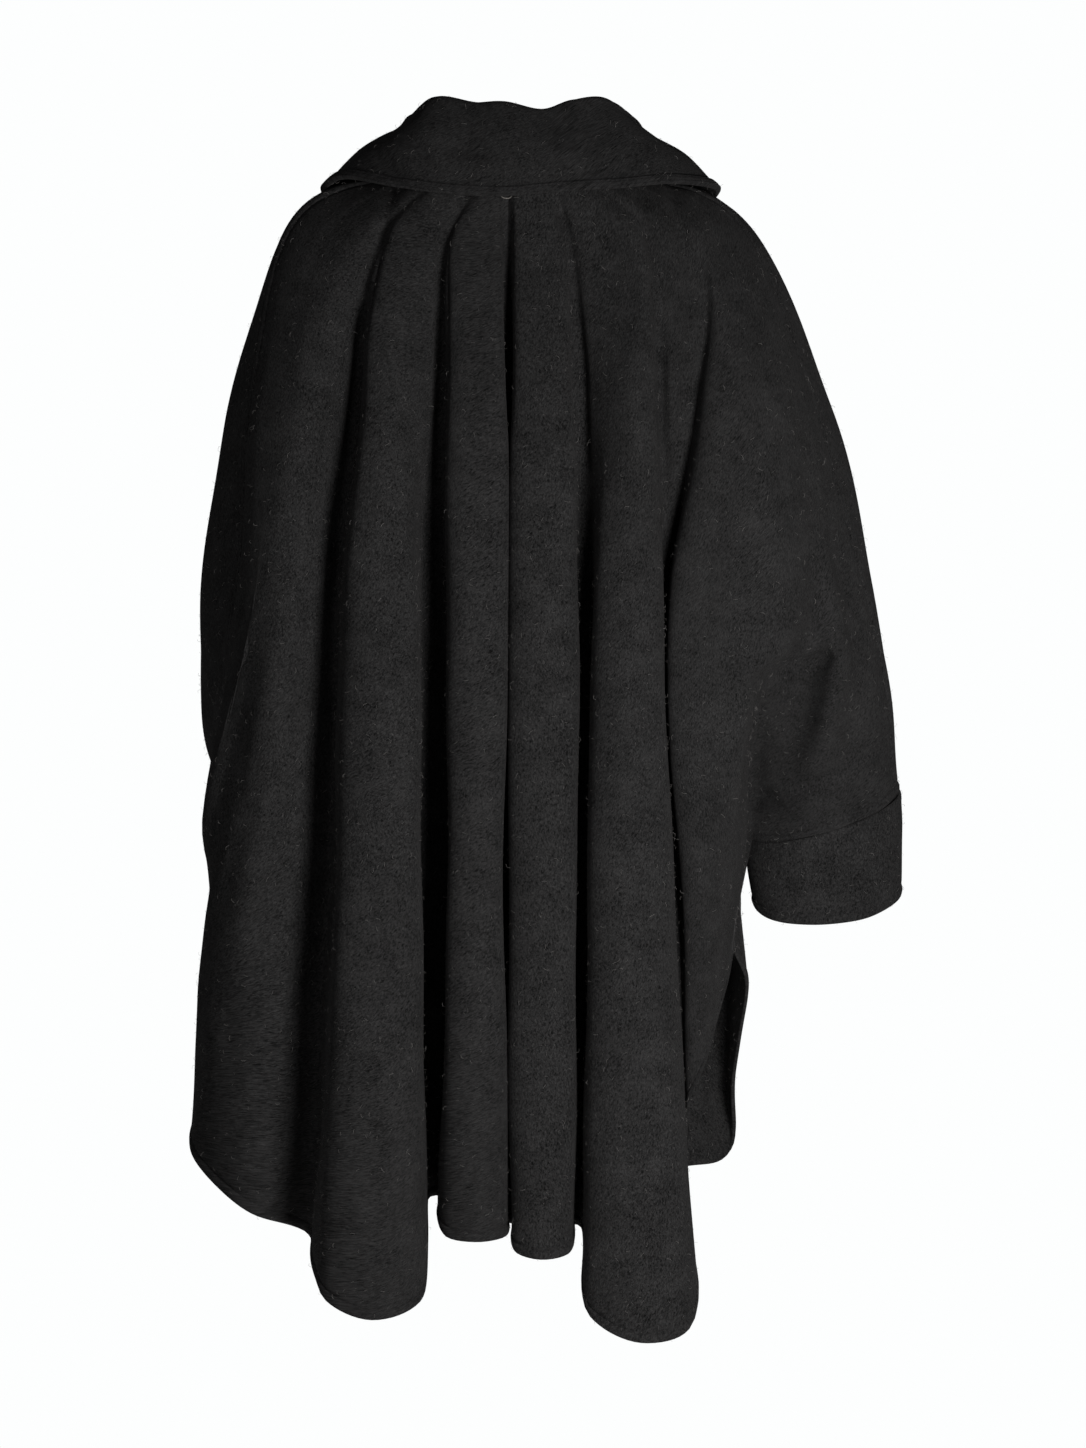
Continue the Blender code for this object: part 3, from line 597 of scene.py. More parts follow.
def respaced(grid, count, first, last):
    """The grid's columns, count of them, at the places that spread gives along each row."""
    lengths = np.linalg.norm(np.diff(grid, axis=0), axis=2)
    along = np.concatenate([np.zeros((1, grid.shape[1])), np.cumsum(lengths, axis=0)])
    places = spread(along[-1], count, first, last)
    found = np.empty((places.shape[1], grid.shape[1], 3))
    for row in range(grid.shape[1]):
        for axis in range(3):
            found[:, row, axis] = np.interp(places[row], along[:, row], grid[:, row, axis])
    return found


def bisector(grid, axis):
    """The mean direction of the two edges that meet at each point along an axis of the grid."""
    lines = np.moveaxis(grid, axis, 0)
    ways = unit(np.diff(lines, axis=0))
    both = np.concatenate([ways[:1], ways[:-1] + ways[1:], ways[-1:]])
    return np.moveaxis(unit(both), 0, axis)


def grid_normals(grid, facing, closed=False):
    """A unit vector out of the cloth at each point. facing is 1 or -1 for the way the columns run."""
    padded = np.concatenate([grid[-1:], grid, grid[:1]]) if closed else grid
    normals = unit(np.cross(bisector(padded, 0), bisector(padded, 1))) * facing
    return normals[1:-1] if closed else normals


def share_normals(sheets):
    """Where sheets meet along a seam, they take the mean of their normals there."""
    sums = {}
    for grid, normals in sheets:
        for point, normal in zip(grid.reshape(-1, 3), normals.reshape(-1, 3)):
            key = tuple(np.round(point, 1))
            sums[key] = sums.get(key, 0) + normal
    for grid, normals in sheets:
        for index in np.ndindex(grid.shape[:2]):
            normals[index] = unit(sums[tuple(np.round(grid[index], 1))])


def line_distance(points, line):
    """How far points in x and z are from a polyline, and where along it the nearest place is, 0 to 1."""
    line = np.asarray(line, dtype=float)
    spans = np.linalg.norm(np.diff(line, axis=0), axis=1)
    starts = np.concatenate([[0.0], np.cumsum(spans)])
    best = np.full(points.shape[:-1], np.inf)
    along = np.zeros(points.shape[:-1])
    for a, b, start, span in zip(line, line[1:], starts, spans):
        share = np.clip(((points - a) @ (b - a)) / span ** 2, 0, 1)
        away = np.linalg.norm(points - (a + share[..., None] * (b - a)), axis=-1)
        nearer = away < best
        best = np.where(nearer, away, best)
        along = np.where(nearer, start + share * span, along)
    return best, along / starts[-1]


def crease_heights(grid, normals, creases, strength):
    """How far the creases move each point along its normal: deepest in the middle of their length, and
    only where the cloth faces the crease's side."""
    heights = np.zeros(grid.shape[:2])
    flat = grid[..., (0, 2)]
    for crease in creases:
        away, along = line_distance(flat, crease.line)
        facing = np.clip(normals[..., 1] * crease.side * FACING_GAIN + FACING_START, 0, 1)
        fade = np.sqrt(np.sin(np.pi * np.clip(END_SHARE + along * (1 - 2 * END_SHARE), 0, 1)))
        heights += crease.depth * np.exp(-((away / crease.width) ** 2)) * facing * fade
    return heights * strength


def drape_heights(grid, settings, share, piece):
    """Gentle unevenness of worn wool: a fixed sum of long waves, drawn out down the cloth. piece is a
    number that gives each kind of piece its own waves."""
    random = np.random.default_rng(settings.seed + piece)
    heights = np.zeros(grid.shape[:2])
    for wave in range(WAVE_COUNT):
        across = random.normal(size=2) / random.uniform(*WAVES_ACROSS)
        down = random.normal() / random.uniform(*WAVES_DOWN)
        phase = random.uniform(0, 2 * math.pi)
        turns = grid[..., 0] * across[0] + grid[..., 1] * across[1] + grid[..., 2] * down
        heights += np.sin(2 * math.pi * turns + phase)
    return heights * (settings.drape / MM * share) / math.sqrt(WAVE_COUNT)


def running_length(grid, axis):
    lengths = np.linalg.norm(np.diff(grid, axis=axis), axis=2)
    zero = np.zeros_like(np.take(lengths, [0], axis=axis))
    return np.concatenate([zero, np.cumsum(lengths, axis=axis)], axis=axis)


def cloth_piece(name, grid, normals, outer, inner, material, closed=False):
    """A closed wall on a grid of its middle, with its outer and inner half thickness at each point. Its
    UV map is the distance in metres across and down the cloth."""
    outside = grid + normals * outer[..., None]
    inside = grid - normals * inner[..., None]
    ring = np.concatenate([grid, grid[:1]]) if closed else grid
    uv = np.stack([running_length(ring, 0), -running_length(ring, 1)], axis=2) * MM
    out = np.arange(grid.shape[0] * grid.shape[1]).reshape(grid.shape[:2])
    out = np.concatenate([out, out[:1]]) if closed else out
    into = out + grid.shape[0] * grid.shape[1]
    here, after = slice(None, -1), slice(1, None)
    faces = [(out, out, out, out, (here, here), (here, after), (after, after), (after, here))]
    faces.append((into, into, into, into, (here, here), (after, here), (after, after), (here, after)))
    for row in (0, -1):
        faces.append((out, out, into, into, (here, row), (after, row), (after, row), (here, row)))
    for column in () if closed else (0, -1):
        faces.append((out, out, into, into, (column, here), (column, after), (column, after), (column, here)))
    corners, places = [], []
    for face in faces:
        numbers, spots = face[:4], face[4:]
        corners.append(np.stack([n[s].ravel() for n, s in zip(numbers, spots)], axis=1))
        places.append(np.stack([uv[s].reshape(-1, 2) for s in spots], axis=1))
    mesh = bpy.data.meshes.new(name)
    points = np.concatenate([outside.reshape(-1, 3), inside.reshape(-1, 3)]) * MM
    mesh.from_pydata(points.tolist(), [], np.concatenate(corners).tolist())
    layer = mesh.uv_layers.new(name="cloth")
    layer.data.foreach_set("uv", np.concatenate(places).ravel())
    return add_object(name, finished(mesh, material))


def finished(mesh, material):
    """The mesh with its faces turned outward, shaded smooth and in its material."""
    shape = bmesh.new()
    shape.from_mesh(mesh)
    bmesh.ops.recalc_face_normals(shape, faces=shape.faces)
    shape.to_mesh(mesh)
    shape.free()
    mesh.shade_smooth()
    mesh.materials.append(material)
    return mesh


def add_object(name, mesh):
    obj = bpy.data.objects.new(name, mesh)
    bpy.context.scene.collection.objects.link(obj)
    return obj


def edge_roll(distance):
    """The share of the full wall at a distance from a finished edge, which is rounded."""
    share = np.clip(distance / EDGE_ROUND, 0, 1)
    return EDGE_SHARE + (1 - EDGE_SHARE) * np.sqrt(1 - (1 - share) ** 2)


def bump_height(distance, bump):
    return bump.height * np.exp(-(((distance - bump.place) / bump.width) ** 2))


def seam_relief(distance, stitched):
    """The turned-in cloth's soft ridge beside an edge, and the trough where the stitches pull in."""
    ridge = bump_height(distance, RIDGE)
    return (ridge + bump_height(distance, TROUGH)) if stitched else PLAIN_RIDGE * ridge


def stitch_line_object(name, lines):
    """A mesh of polylines on the cloth, each point with the cloth's normal as its attribute up."""
    points, ups, edges = [], [], []
    for line, up in lines:
        start = len(points)
        points += (line * MM).tolist()
        ups += up.tolist()
        edges += [(start + i, start + i + 1) for i in range(len(line) - 1)]
    mesh = bpy.data.meshes.new(name)
    mesh.from_pydata(points, edges, [])
    mesh.attributes.new("up", "FLOAT_VECTOR", "POINT").data.foreach_set("vector", np.array(ups).ravel())
    return add_object(name, mesh)


def add_node(tree, kind, inputs=None, **settings):
    """A new node with its settings and its inputs by socket name or number: a constant, a socket to link,
    or a node to link by its first output."""
    node = tree.nodes.new(kind)
    for key, value in settings.items():
        setattr(node, key, value)
    for key, value in (inputs or {}).items():
        value = value.outputs[0] if isinstance(value, bpy.types.Node) else value
        if isinstance(value, bpy.types.NodeSocket):
            tree.links.new(value, node.inputs[key])
        else:
            node.inputs[key].default_value = value
    return node


def open_tree(name, inputs):
    """A node tree that takes a geometry and these named inputs, and its input sockets."""
    tree = bpy.data.node_groups.new(name, "GeometryNodeTree")
    for key, kind in {"Geometry": "Geometry", **inputs}.items():
        tree.interface.new_socket(key, in_out="INPUT", socket_type="NodeSocket" + kind)
    tree.interface.new_socket("Geometry", in_out="OUTPUT", socket_type="NodeSocketGeometry")
    return tree, add_node(tree, "NodeGroupInput").outputs


def close_tree(tree, placed, material):
    """Makes the placed instances one mesh in the material, and gives it out."""
    real = add_node(tree, "GeometryNodeRealizeInstances", {"Geometry": placed})
    painted = add_node(tree, "GeometryNodeSetMaterial", {"Geometry": real, "Material": material})
    add_node(tree, "NodeGroupOutput", {"Geometry": painted})
    return tree


def random_vector(tree, least, most, seed):
    inputs = {"Min": least, "Max": most, "Seed": seed}
    return add_node(tree, "FunctionNodeRandomValue", inputs, data_type="FLOAT_VECTOR").outputs["Value"]


def stitch_tree():
    """Lays small rounded stitches along every edge of a mesh, and makes them one mesh."""
    inputs = {"Pitch": "Float", "Length": "Float", "Radius": "Float", "Seed": "Int", "Thread": "Material"}
    tree, given = open_tree("topstitch", inputs)
    lines = add_node(tree, "GeometryNodeMeshToCurve", {"Mesh": given["Geometry"]})
    spaced = add_node(
        tree, "GeometryNodeResampleCurve", {"Curve": lines, "Length": given["Pitch"]}, mode="LENGTH"
    )
    tangent = add_node(tree, "GeometryNodeInputTangent")
    up = add_node(tree, "GeometryNodeInputNamedAttribute", {"Name": "up"}, data_type="FLOAT_VECTOR")
    along = add_node(
        tree, "FunctionNodeAlignRotationToVector", {"Vector": tangent}, axis="X", pivot_axis="AUTO"
    )
    turned = add_node(
        tree, "FunctionNodeAlignRotationToVector", {"Rotation": along, "Vector": up},
        axis="Z", pivot_axis="X",
    )
    # Sewn stitches differ by about a tenth
    uneven = random_vector(tree, (0.86, 0.9, 0.9), (1.08, 1.1, 1.1), given["Seed"])
    bead = add_node(tree, "GeometryNodeMeshUVSphere", {"Segments": 6, "Rings": 4, "Radius": 1.0})
    half = add_node(tree, "ShaderNodeMath", {0: given["Length"], 1: 0.5}, operation="MULTIPLY")
    size = add_node(tree, "ShaderNodeCombineXYZ", {"X": half, "Y": given["Radius"], "Z": given["Radius"]})
    stitch = add_node(tree, "GeometryNodeTransform", {"Geometry": bead.outputs["Mesh"], "Scale": size})
    placed = add_node(
        tree, "GeometryNodeInstanceOnPoints",
        {"Points": spaced, "Instance": stitch, "Rotation": turned, "Scale": uneven},
    )
    return close_tree(tree, placed, given["Thread"])


def fibre_tree():
    """Scatters short bent fibres over a cloth, and makes them one mesh."""
    inputs = {"Density": "Float", "Length": "Float", "Radius": "Float", "Seed": "Int", "Wool": "Material"}
    tree, given = open_tree("nap fibres", inputs)
    points = add_node(
        tree, "GeometryNodeDistributePointsOnFaces",
        {"Mesh": given["Geometry"], "Density": given["Density"], "Seed": given["Seed"]},
        distribute_method="RANDOM",
    )
    # One fibre, 1 long: it starts just inside the cloth, rises and bends over
    bent = add_node(
        tree, "GeometryNodeCurveQuadraticBezier",
        {"Resolution": 3, "Start": (0.0, 0.0, -0.02), "Middle": (0.35, 0.1, 0.75), "End": (1.0, -0.05, 0.3)},
    )
    section = add_node(
        tree, "GeometryNodeCurvePrimitiveCircle", {"Resolution": 3, "Radius": given["Radius"]}
    )
    length = add_node(
        tree, "ShaderNodeCombineXYZ", {"X": given["Length"], "Y": given["Length"], "Z": given["Length"]}
    )
    sized = add_node(tree, "GeometryNodeTransform", {"Geometry": bent, "Scale": length})
    fibre = add_node(
        tree, "GeometryNodeCurveToMesh",
        {"Curve": sized, "Profile Curve": section, "Fill Caps": True},
    )
    spin = random_vector(tree, (-0.5, -0.5, 0.0), (0.5, 0.5, 6.283), given["Seed"])
    own = add_node(tree, "FunctionNodeEulerToRotation", {"Euler": spin})
    turned = add_node(
        tree, "FunctionNodeRotateRotation",
        {"Rotation": points.outputs["Rotation"], "Rotate By": own}, rotation_space="LOCAL",
    )
    scale = add_node(
        tree, "FunctionNodeRandomValue", {2: 0.45, 3: 1.3, "Seed": given["Seed"]}, data_type="FLOAT"
    )
    placed = add_node(
        tree, "GeometryNodeInstanceOnPoints",
        {"Points": points.outputs["Points"], "Instance": fibre, "Rotation": turned,
         "Scale": scale.outputs[1]},
    )
    return close_tree(tree, placed, given["Wool"])


def grown(name, source, tree, values):
    """A new mesh object that the node tree makes from the source, with inputs set by name."""
    modifier = source.modifiers.new("grow", "NODES")
    modifier.node_group = tree
    for item in tree.interface.items_tree:
        if item.item_type == "SOCKET" and item.in_out == "INPUT" and item.name in values:
            modifier[item.identifier] = values[item.name]
    bpy.context.view_layer.update()
    evaluated = source.evaluated_get(bpy.context.evaluated_depsgraph_get())
    mesh = bpy.data.meshes.new_from_object(evaluated)
    source.modifiers.remove(modifier)
    mesh.name = name
    if not mesh.polygons:
        raise RuntimeError(f"{name}: the node tree made no faces")
    mesh.shade_smooth()
    return add_object(name, mesh)


def new_material(name, constants):
    """A material with these constants on its shader, with its tree, its shader and its coordinates."""
    material = bpy.data.materials.new(name)
    material.use_nodes = True
    tree = material.node_tree
    shader = tree.nodes["Principled BSDF"]
    for key, value in constants.items():
        shader.inputs[key].default_value = value
    return material, tree, shader, add_node(tree, "ShaderNodeTexCoord").outputs


def wool_material(name, dark, light):
    """Brushed black wool coating: a matt ground under a soft nap that lies down the cloth, mottled where
    it is rubbed, with a grey bloom at grazing angles."""
    material, tree, shader, place = new_material(name, {
        "Roughness": 0.93,
        "Specular IOR Level": 0.12,
        "Sheen Weight": 0.12,
        "Sheen Roughness": 0.42,
        "Sheen Tint": linear("8C8988"),
    })
    # The nap lies down the cloth: tufts about 1.5 mm wide and 2.5 mm long
    lie = add_node(
        tree, "ShaderNodeMapping", {"Vector": place["UV"], "Scale": (1 / 0.0015, 1 / 0.0025, 1.0)}
    )
    tufts = add_node(
        tree, "ShaderNodeTexNoise",
        {"Vector": lie, "Scale": 1.0, "Detail": 4.0, "Roughness": 0.7, "Distortion": 1.0},
    )
    # Single curls in it, about 0.7 mm
    grain = add_node(
        tree, "ShaderNodeTexNoise",
        {"Vector": place["Object"], "Scale": 1 / 0.0007, "Detail": 2.0, "Roughness": 0.6},
    )
    # Rubbed and brushed patches, about 25 mm across, make the nap a little lighter or darker
    patches = add_node(
        tree, "ShaderNodeTexNoise",
        {"Vector": place["Object"], "Scale": 1 / 0.025, "Detail": 6.0, "Roughness": 0.7},
    )
    rubbed = add_node(tree, "ShaderNodeMath", {0: patches.outputs["Fac"], 1: 0.3}, operation="MULTIPLY")
    mottle = add_node(tree, "ShaderNodeMath", {0: tufts.outputs["Fac"], 1: rubbed}, operation="ADD")
    share = add_node(
        tree, "ShaderNodeMapRange",
        {"Value": mottle, "From Min": 0.5, "From Max": 0.82, "To Min": 0.0, "To Max": 1.0},
    )
    colour = add_node(
        tree, "ShaderNodeMix", {"Factor": share, 6: linear(dark), 7: linear(light)},
        data_type="RGBA",
    )
    pile = add_node(
        tree, "ShaderNodeMath", {0: tufts.outputs["Fac"], 1: grain.outputs["Fac"]}, operation="ADD"
    )
    # The pile stands about 0.9 mm proud
    relief = add_node(tree, "ShaderNodeBump", {"Strength": 0.8, "Distance": 0.0009, "Height": pile})
    tree.links.new(colour.outputs[2], shader.inputs["Base Color"])
    tree.links.new(relief.outputs[0], shader.inputs["Normal"])
    return material


def thread_material(name, tone, roughness):
    """Spun thread: twisted plies seen as fine slanting bands, with painted shade in the grooves between them,
    and a slight lustre.
    """
    material, tree, shader, place = new_material(name, {"Roughness": roughness, "Specular IOR Level": 0.35})
    # At this scale the slanting bands are plies about 1.1 mm apart
    plies = add_node(
        tree, "ShaderNodeTexWave", {"Vector": place["Object"], "Scale": 318.319, "Distortion": 1.5},
        bands_direction="DIAGONAL",
    )
    pale = linear(tone)
    # The grooves between the plies, where the bump sinks, are painted at 0.6 of the thread's tone: painted
    # shade
    dark = tuple(v * 0.6 for v in pale[:3]) + (1.0,)
    shade = add_node(
        tree, "ShaderNodeMix", {"Factor": plies.outputs["Fac"], 6: dark, 7: pale}, data_type="RGBA"
    )
    twist = add_node(
        tree, "ShaderNodeBump", {"Strength": 0.4, "Distance": 0.0001, "Height": plies.outputs["Fac"]}
    )
    tree.links.new(shade.outputs[2], shader.inputs["Base Color"])
    tree.links.new(twist.outputs[0], shader.inputs["Normal"])
    return material


def paper_material(name, tone):
    """A plain pale studio surface, matt, with a faint paper tooth of about 4 mm."""
    material, tree, shader, place = new_material(
        name, {"Base Color": linear(tone), "Roughness": 1.0, "Specular IOR Level": 0.0}
    )
    tooth = add_node(
        tree, "ShaderNodeTexNoise", {"Vector": place["Object"], "Scale": 1 / 0.004, "Detail": 2.0}
    )
    relief = add_node(
        tree, "ShaderNodeBump", {"Strength": 0.05, "Distance": 0.0002, "Height": tooth.outputs["Fac"]}
    )
    tree.links.new(relief.outputs[0], shader.inputs["Normal"])
    return material


def respaced_down(grid, count, first, last):
    """The grid's rows, count of them, at the places that spread gives down each column."""
    return np.swapaxes(respaced(np.swapaxes(grid, 0, 1), count, first, last), 0, 1)


def fine_panels(detail):
    """Every panel's fine grid and outward normals, with shared normals along the seams."""
    grids, normals = {}, {}
    for panel in PANELS:
        grid = panel_grid(panel.guides, panel.cuff)
        longest = np.linalg.norm(np.diff(grid, axis=0), axis=2).sum(axis=0).max()
        count = int(longest * detail / ACROSS_SPACING) + 2 * len(EDGE_LINES)
        grid = respaced(grid, count, EDGE_LINES, EDGE_LINES)
        grid = respaced_down(grid, int(DOWN_COUNT * detail), NECK_LINES, EDGE_LINES)
        grids[panel.name] = grid
        normals[panel.name] = grid_normals(grid, panel.facing)
    share_normals([(grids[name], normals[name]) for name in grids])
    return grids, normals


def edge_distances(count, first, last):
    """The distance from the nearer finished edge for each of count mesh lines."""
    found = np.full(count, FAR)
    if first:
        found[:len(EDGE_LINES)] = EDGE_LINES
    if last:
        found[-len(EDGE_LINES):] = EDGE_LINES[::-1]
    return found


def shaped_walls(roll, relief):
    """The outer and inner half thickness of a wall from its edges' roll and its outer side's relief."""
    inner = WALL / 2 * roll
    return np.maximum(inner + relief * roll, THINNEST), inner


def panel_walls(grid, stitched):
    """A panel's walls, with its free and sewn edges rolled and the stitched ones sunk in."""
    first = edge_distances(len(grid), True, False)
    last = edge_distances(len(grid), False, True)
    end = edge_distances(grid.shape[1], False, True)
    roll = np.minimum(edge_roll(np.minimum(first, last))[:, None], edge_roll(end)[None, :])
    relief = (
        seam_relief(first, "first" in stitched)[:, None]
        + seam_relief(last, "last" in stitched)[:, None]
        + seam_relief(end, "end" in stitched)[None, :]
    )
    return shaped_walls(roll, relief)


def surface_line(grid, normals, outer, columns, row):
    """A line on the cloth's face: along a mesh row or column, with the cloth's normals."""
    points = grid + normals * outer[..., None]
    return points[columns, row], normals[columns, row]


def make_panels(settings):
    grids, normals = fine_panels(settings.detail)
    wool = wool_material("brushed black wool coating", WOOL_DARK, WOOL_LIGHT)
    thread = thread_material("black sewing thread", "2A2829", 0.55)
    seams = stitch_tree()
    at = EDGE_LINES.index(STITCH_LINE)
    for panel in PANELS:
        name = panel.name
        grid, normal = grids[name], normals[name]
        heights = crease_heights(grid, normal, CREASES, settings.crease_strength)
        heights += drape_heights(grid, settings, 1.0, 0)
        grid = grid + normal * heights[..., None]
        outer, inner = panel_walls(grid, panel.stitched)
        piece = cloth_piece("wool_" + name, grid, normal, outer, inner, wool)
        lines = [surface_line(grid, normal, outer, slice(at, -at - 1), -at - 1)]
        for edge, column in (("first", at), ("last", -at - 1)):
            if edge in panel.stitched:
                lines.append(surface_line(grid, normal, outer, column, slice(NECK_FREE, -at - 1)))
        sewing = sew("stitches_" + name, lines, seams, thread, settings)
        finish_cloth(piece, name, [sewing])


def sew(name, lines, tree, thread, settings):
    guide = stitch_line_object(name + "_line", lines)
    values = {
        "Pitch": settings.stitch_pitch,
        "Length": settings.stitch_length,
        "Radius": settings.thread_radius,
        "Seed": settings.seed,
        "Thread": thread,
    }
    sewing = grown(name, guide, tree, values)
    bpy.data.objects.remove(guide, do_unlink=True)
    return sewing


def finish_cloth(piece, node, on_it):
    """The piece and what is sewn on it ride on the coat, and the piece's CAD node is hidden."""
    for obj in [piece, *on_it]:
        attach(obj, "root")
    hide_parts(node)


def make_cuffs(settings):
    wool = bpy.data.materials["brushed black wool coating"]
    thread = bpy.data.materials["black sewing thread"]
    seams = bpy.data.node_groups["topstitch"]
    at = EDGE_LINES.index(STITCH_LINE)
    for name, cuff, facing in CUFFS:
        grid = respaced_down(cuff_grid(cuff), CUFF_DOWN, EDGE_LINES, EDGE_LINES)
        normal = grid_normals(grid, facing, closed=True)
        down = running_length(grid, 1)
        swell = CUFF_SWELL * np.sin(math.pi * down / down[:, -1:])
        heights = swell + drape_heights(grid, settings, CUFF_DRAPE, 1)
        grid = grid + normal * (heights * np.clip(down / CUFF_CALM, 0, 1))[..., None]
        rows = grid.shape[1]
        roll = np.repeat(edge_roll(edge_distances(rows, True, True))[None, :], len(grid), axis=0)
        top, bottom = edge_distances(rows, True, False), edge_distances(rows, False, True)
        relief = (seam_relief(top, False) + seam_relief(bottom, True))[None, :]
        outer, inner = shaped_walls(roll, relief)
        piece = cloth_piece("wool_" + name, grid, normal, outer, inner, wool, closed=True)
        ring = [np.concatenate([part, part[:1]]) for part in (grid, normal, outer)]
        lines = [surface_line(*ring, slice(None), -at - 1)]
        sewing = sew("stitches_" + name, lines, seams, thread, settings)
        finish_cloth(piece, name, [sewing])


def make_collar(settings):
    # The collar's wool is the panels' wool made a little darker, which paints shade on the collar
    wool = wool_material("collar wool, darker for painted shade", COLLAR_DARK_SHADED, COLLAR_LIGHT_SHADED)
    thread = bpy.data.materials["black sewing thread"]
    seams = bpy.data.node_groups["topstitch"]
    grid = respaced(collar_grid(), COLLAR_ACROSS, EDGE_LINES, EDGE_LINES)
    grid = respaced_down(grid, COLLAR_DOWN, FOOT_LINES, BAND_LINES)
    normal = grid_normals(grid, -1)
    down = running_length(grid, 1)
    heights = crease_heights(grid, normal, COLLAR_CREASES, settings.crease_strength)
    heights += drape_heights(grid, settings, COLLAR_DRAPE, 2)
    grid = grid + normal * (heights * np.clip(down / COLLAR_CALM, 0, 1))[..., None]
    left = down[:, -1:] - down
    sides = edge_distances(len(grid), True, True)
    roll = np.minimum(edge_roll(sides)[:, None], edge_roll(left))
    band = 1 / (1 + np.exp((left - BAND_WIDTH) / BAND_SOFTNESS))
    thick = COLLAR_WALL / 2 + (BAND_WALL - COLLAR_WALL) * band
    sunk = sum(bump_height(left, Bump(line, BAND_TROUGH_WIDTH, BAND_TROUGH_DEPTH)) for line in BAND_STITCHES)
    outer = np.maximum((thick - sunk) * roll, THINNEST)
    piece = cloth_piece("wool_collar", grid, normal, outer, COLLAR_WALL / 2 * roll, wool)
    lines = []
    for line in BAND_STITCHES:
        row = -1 - BAND_LINES.index(line)
        lines.append(surface_line(grid, normal, outer, slice(COLLAR_FREE, -COLLAR_FREE), row))
    sewing = sew("stitches_collar", lines, seams, thread, settings)
    finish_cloth(piece, "collar", [sewing])


def make_thread_loop():
    """The small pale loop of thread that stands from the neck seam below the collar, at the back."""
    path = curve(LOOP_PATH, [LOOP_STEPS] * (len(LOOP_PATH) - 1))
    ways = bisector(path[:, None, :], 0)[:, 0]
    side = unit(np.cross(ways, (0.3, 1.0, 0.2)))
    other = np.cross(ways, side)
    turns = np.linspace(0, 2 * math.pi, LOOP_SIDES, endpoint=False)
    rings = [path + (side * math.cos(t) + other * math.sin(t)) * LOOP_RADIUS for t in turns]
    points = np.stack(rings, axis=1).reshape(-1, 3) * MM
    number = np.arange(len(points)).reshape(len(path), LOOP_SIDES)
    after = np.roll(number, -1, axis=1)
    sides = np.stack([number[:-1], after[:-1], after[1:], number[1:]], axis=2).reshape(-1, 4)
    mesh = bpy.data.meshes.new("thread_loop")
    mesh.from_pydata(points.tolist(), [], [*sides.tolist(), number[0].tolist(), number[-1].tolist()])
    thread = thread_material("pale thread", "9A948E", 0.6)
    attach(add_object("thread_loop", finished(mesh, thread)), "root")


def make_fibres(settings):
    """Loose curly fibres that stand out of the nap, on every piece of cloth."""
    wool = thread_material("loose wool fibre", "A39F9C", 0.8)
    tree = fibre_tree()
    for number, node in enumerate(CUTS):
        values = {
            "Density": settings.fibre_density,
            "Length": settings.fibre_length,
            "Radius": settings.fibre_radius,
            "Seed": settings.seed + number,
            "Wool": wool,
        }
        fibres = grown("fibres_" + node, bpy.data.objects["wool_" + node], tree, values)
        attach(fibres, "root")


def add_light(name, place, aim, size, power):
    """A round soft light at a place, turned to what it aims at, that the camera doesn't see."""
    light = bpy.data.lights.new(name, "AREA")
    light.shape = "DISK"
    light.size = size
    light.energy = power
    obj = bpy.data.objects.new(name, light)
    obj.location = place
    way = np.array(aim, dtype=float) - np.array(place, dtype=float)
    level = math.hypot(way[0], way[1])
    obj.rotation_euler = (math.atan2(level, -way[2]), 0.0, math.atan2(-way[0], way[1]))
    obj.visible_camera = False
    bpy.context.scene.collection.objects.link(obj)


def make_stage(settings):
    """A pale round floor under the coat, a white studio round it, soft lights, and the photo's camera."""
    turns = [2 * math.pi * k / FLOOR_SIDES for k in range(FLOOR_SIDES)]
    points = [(FLOOR_RADIUS * math.cos(t), FLOOR_RADIUS * math.sin(t), STAGE_FLOOR) for t in turns]
    mesh = bpy.data.meshes.new("studio_floor")
    mesh.from_pydata(points, [], [tuple(range(len(points)))])
    mesh.materials.append(paper_material("studio paper", "F4F4F3"))
    add_object("studio_floor", mesh)

    scene = bpy.context.scene
    world = bpy.data.worlds.new("studio air")
    world.use_nodes = True
    tree = world.node_tree
    seen = tree.nodes["Background"]
    seen.inputs["Color"].default_value = linear("FDFEFE")
    lit = add_node(tree, "ShaderNodeBackground", {"Color": linear("F4F6F8"), "Strength": settings.air})
    rays = add_node(tree, "ShaderNodeLightPath")
    mixed = add_node(tree, "ShaderNodeMixShader", {0: rays.outputs["Is Camera Ray"], 1: lit, 2: seen})
    tree.links.new(mixed.outputs[0], tree.nodes["World Output"].inputs["Surface"])
    scene.world = world
    # The front light shows the side that the photo doesn't
    add_light("key light", (0.62, -1.55, -0.5), (0.0, -0.1, -0.45), 0.5, settings.key_power)
    add_light("fill light", (-1.3, -2.4, -0.2), (0.0, 0.0, -0.4), 1.0, settings.fill_power)
    add_light("front light", (0.25, 3.4, 0.1), (0.0, 0.0, -0.45), 1.0, settings.front_power)

    camera = bpy.data.cameras.new("photo camera")
    camera.sensor_fit = "VERTICAL"
    camera.sensor_height = 36.0
    camera.lens = camera.sensor_height * CAMERA_DISTANCE / FRAME_HEIGHT
    camera.clip_end = 50.0
    obj = bpy.data.objects.new("photo camera", camera)
    obj.location = CAMERA_PLACE
    obj.rotation_euler = (math.pi / 2, 0.0, 0.0)
    scene.collection.objects.link(obj)
    scene.camera = obj
    scene.view_settings.view_transform = "Standard"
    scene.view_settings.look = "None"


